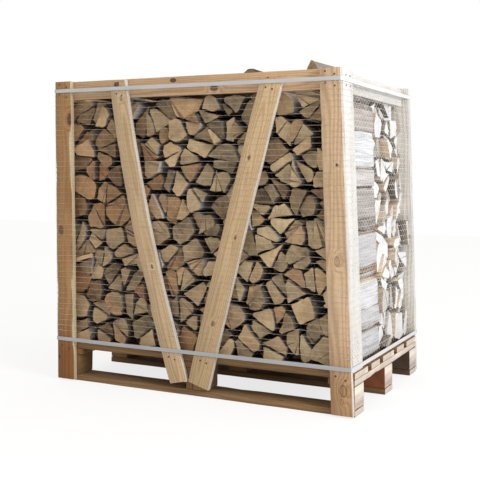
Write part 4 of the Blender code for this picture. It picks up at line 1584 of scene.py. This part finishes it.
# Operators ------------------------------------------------------------------------------------


class FIREWOOD_OT_stage(bpy.types.Operator):
    """Add the floor, the light and the camera"""

    bl_idname = "firewood.stage"
    bl_label = "Stage"

    def execute(self, context):
        build_stage()
        return {"FINISHED"}


class FIREWOOD_OT_pallet(bpy.types.Operator):
    """Add the pallet's bottom boards, blocks, stringers and deck boards"""

    bl_idname = "firewood.pallet"
    bl_label = "Pallet"

    def execute(self, context):
        base = context.scene.firewood_boards.pallet
        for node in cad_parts:
            if node.startswith(PALLET_PARTS):
                build_straight_board(node, False, base, "pallet_wood", 0.28)
        return {"FINISHED"}


class FIREWOOD_OT_crate(bpy.types.Operator):
    """Add the crate's posts, side boards, rails and braces"""

    bl_idname = "firewood.crate"
    bl_label = "Crate"

    def execute(self, context):
        settings = context.scene.firewood_boards
        for face in ("front", "back"):
            for side in ("left", "right"):
                dark = (face, side) == ("front", "left")
                # The back right post takes the pale side wood: painted side light
                pale = (face, side) == ("back", "right")
                base = settings.dark_post if dark else settings.sides if pale else settings.crate
                slot = "post_wood_dark" if dark else "frame_wood"
                build_straight_board(f"post_{face}_{side}", True, base, slot, 0.14)
                build_brace(face, side, settings.crate)
            build_straight_board(f"rail_{face}", True, settings.crate, "frame_wood", 0.16)
        for node in ("side_board_left", "side_board_right", "rail_left", "rail_right"):
            # Painted side light: the right side's boards take the pale side wood
            base = settings.sides if node.endswith("right") else settings.crate
            build_straight_board(node, True, base, "frame_wood", 0.08)
        return {"FINISHED"}


class FIREWOOD_OT_logs(bpy.types.Operator):
    """Add the two rows of split logs and the loose logs on top"""

    bl_idname = "firewood.logs"
    bl_label = "Logs"

    def execute(self, context):
        settings = context.scene.firewood_logs
        materials = [cross_cut_hardwood(settings), split_hardwood(settings), log_bark(settings)]
        build_front_row(materials, settings)
        build_back_row(materials, settings)
        loose = sorted(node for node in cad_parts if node.startswith("top_log"))
        for number, node in enumerate(loose, 1):
            build_loose_log(node, number, materials, settings)
        return {"FINISHED"}


class FIREWOOD_OT_net(bpy.types.Operator):
    """Add the knitted net round the crate"""

    bl_idname = "firewood.net"
    bl_label = "Net"

    def execute(self, context):
        build_net()
        return {"FINISHED"}


class FIREWOOD_OT_straps(bpy.types.Operator):
    """Add the two plastic straps"""

    bl_idname = "firewood.straps"
    bl_label = "Straps"

    def execute(self, context):
        made = embossed_polypropylene(context.scene.firewood_straps)
        for node in ("strap_lower", "strap_upper"):
            build_strap(node, made)
        return {"FINISHED"}


class FIREWOOD_OT_nails(bpy.types.Operator):
    """Add the nail heads"""

    bl_idname = "firewood.nails"
    bl_label = "Nails"

    def execute(self, context):
        build_nails()
        return {"FINISHED"}


OPERATORS = (
    FIREWOOD_OT_stage, FIREWOOD_OT_pallet, FIREWOOD_OT_crate, FIREWOOD_OT_logs,
    FIREWOOD_OT_net, FIREWOOD_OT_straps, FIREWOOD_OT_nails,
)


class FIREWOOD_PT_panel(bpy.types.Panel):
    """Buttons that add the crate's pieces"""

    bl_idname = "FIREWOOD_PT_panel"
    bl_label = "Firewood"
    bl_space_type = "VIEW_3D"
    bl_region_type = "UI"
    bl_category = "Firewood"

    def draw(self, context):
        for operator in OPERATORS:
            self.layout.operator(operator.bl_idname)
        for name in SETTINGS:
            column = self.layout.column()
            settings = getattr(context.scene, name)
            for key in settings.bl_rna.properties.keys():
                if key not in ("rna_type", "name"):
                    column.prop(settings, key)


def register():
    for made in (*SETTINGS.values(), *OPERATORS, FIREWOOD_PT_panel):
        bpy.utils.register_class(made)
    for name, made in SETTINGS.items():
        setattr(bpy.types.Scene, name, PointerProperty(type=made))


def unregister():
    for name in SETTINGS:
        delattr(bpy.types.Scene, name)
    for made in reversed((*SETTINGS.values(), *OPERATORS, FIREWOOD_PT_panel)):
        bpy.utils.unregister_class(made)


def main():
    register()
    for step in ("stage", "pallet", "crate", "logs", "net", "straps", "nails"):
        getattr(bpy.ops.firewood, step)()


if __name__ == "__main__":
    main()
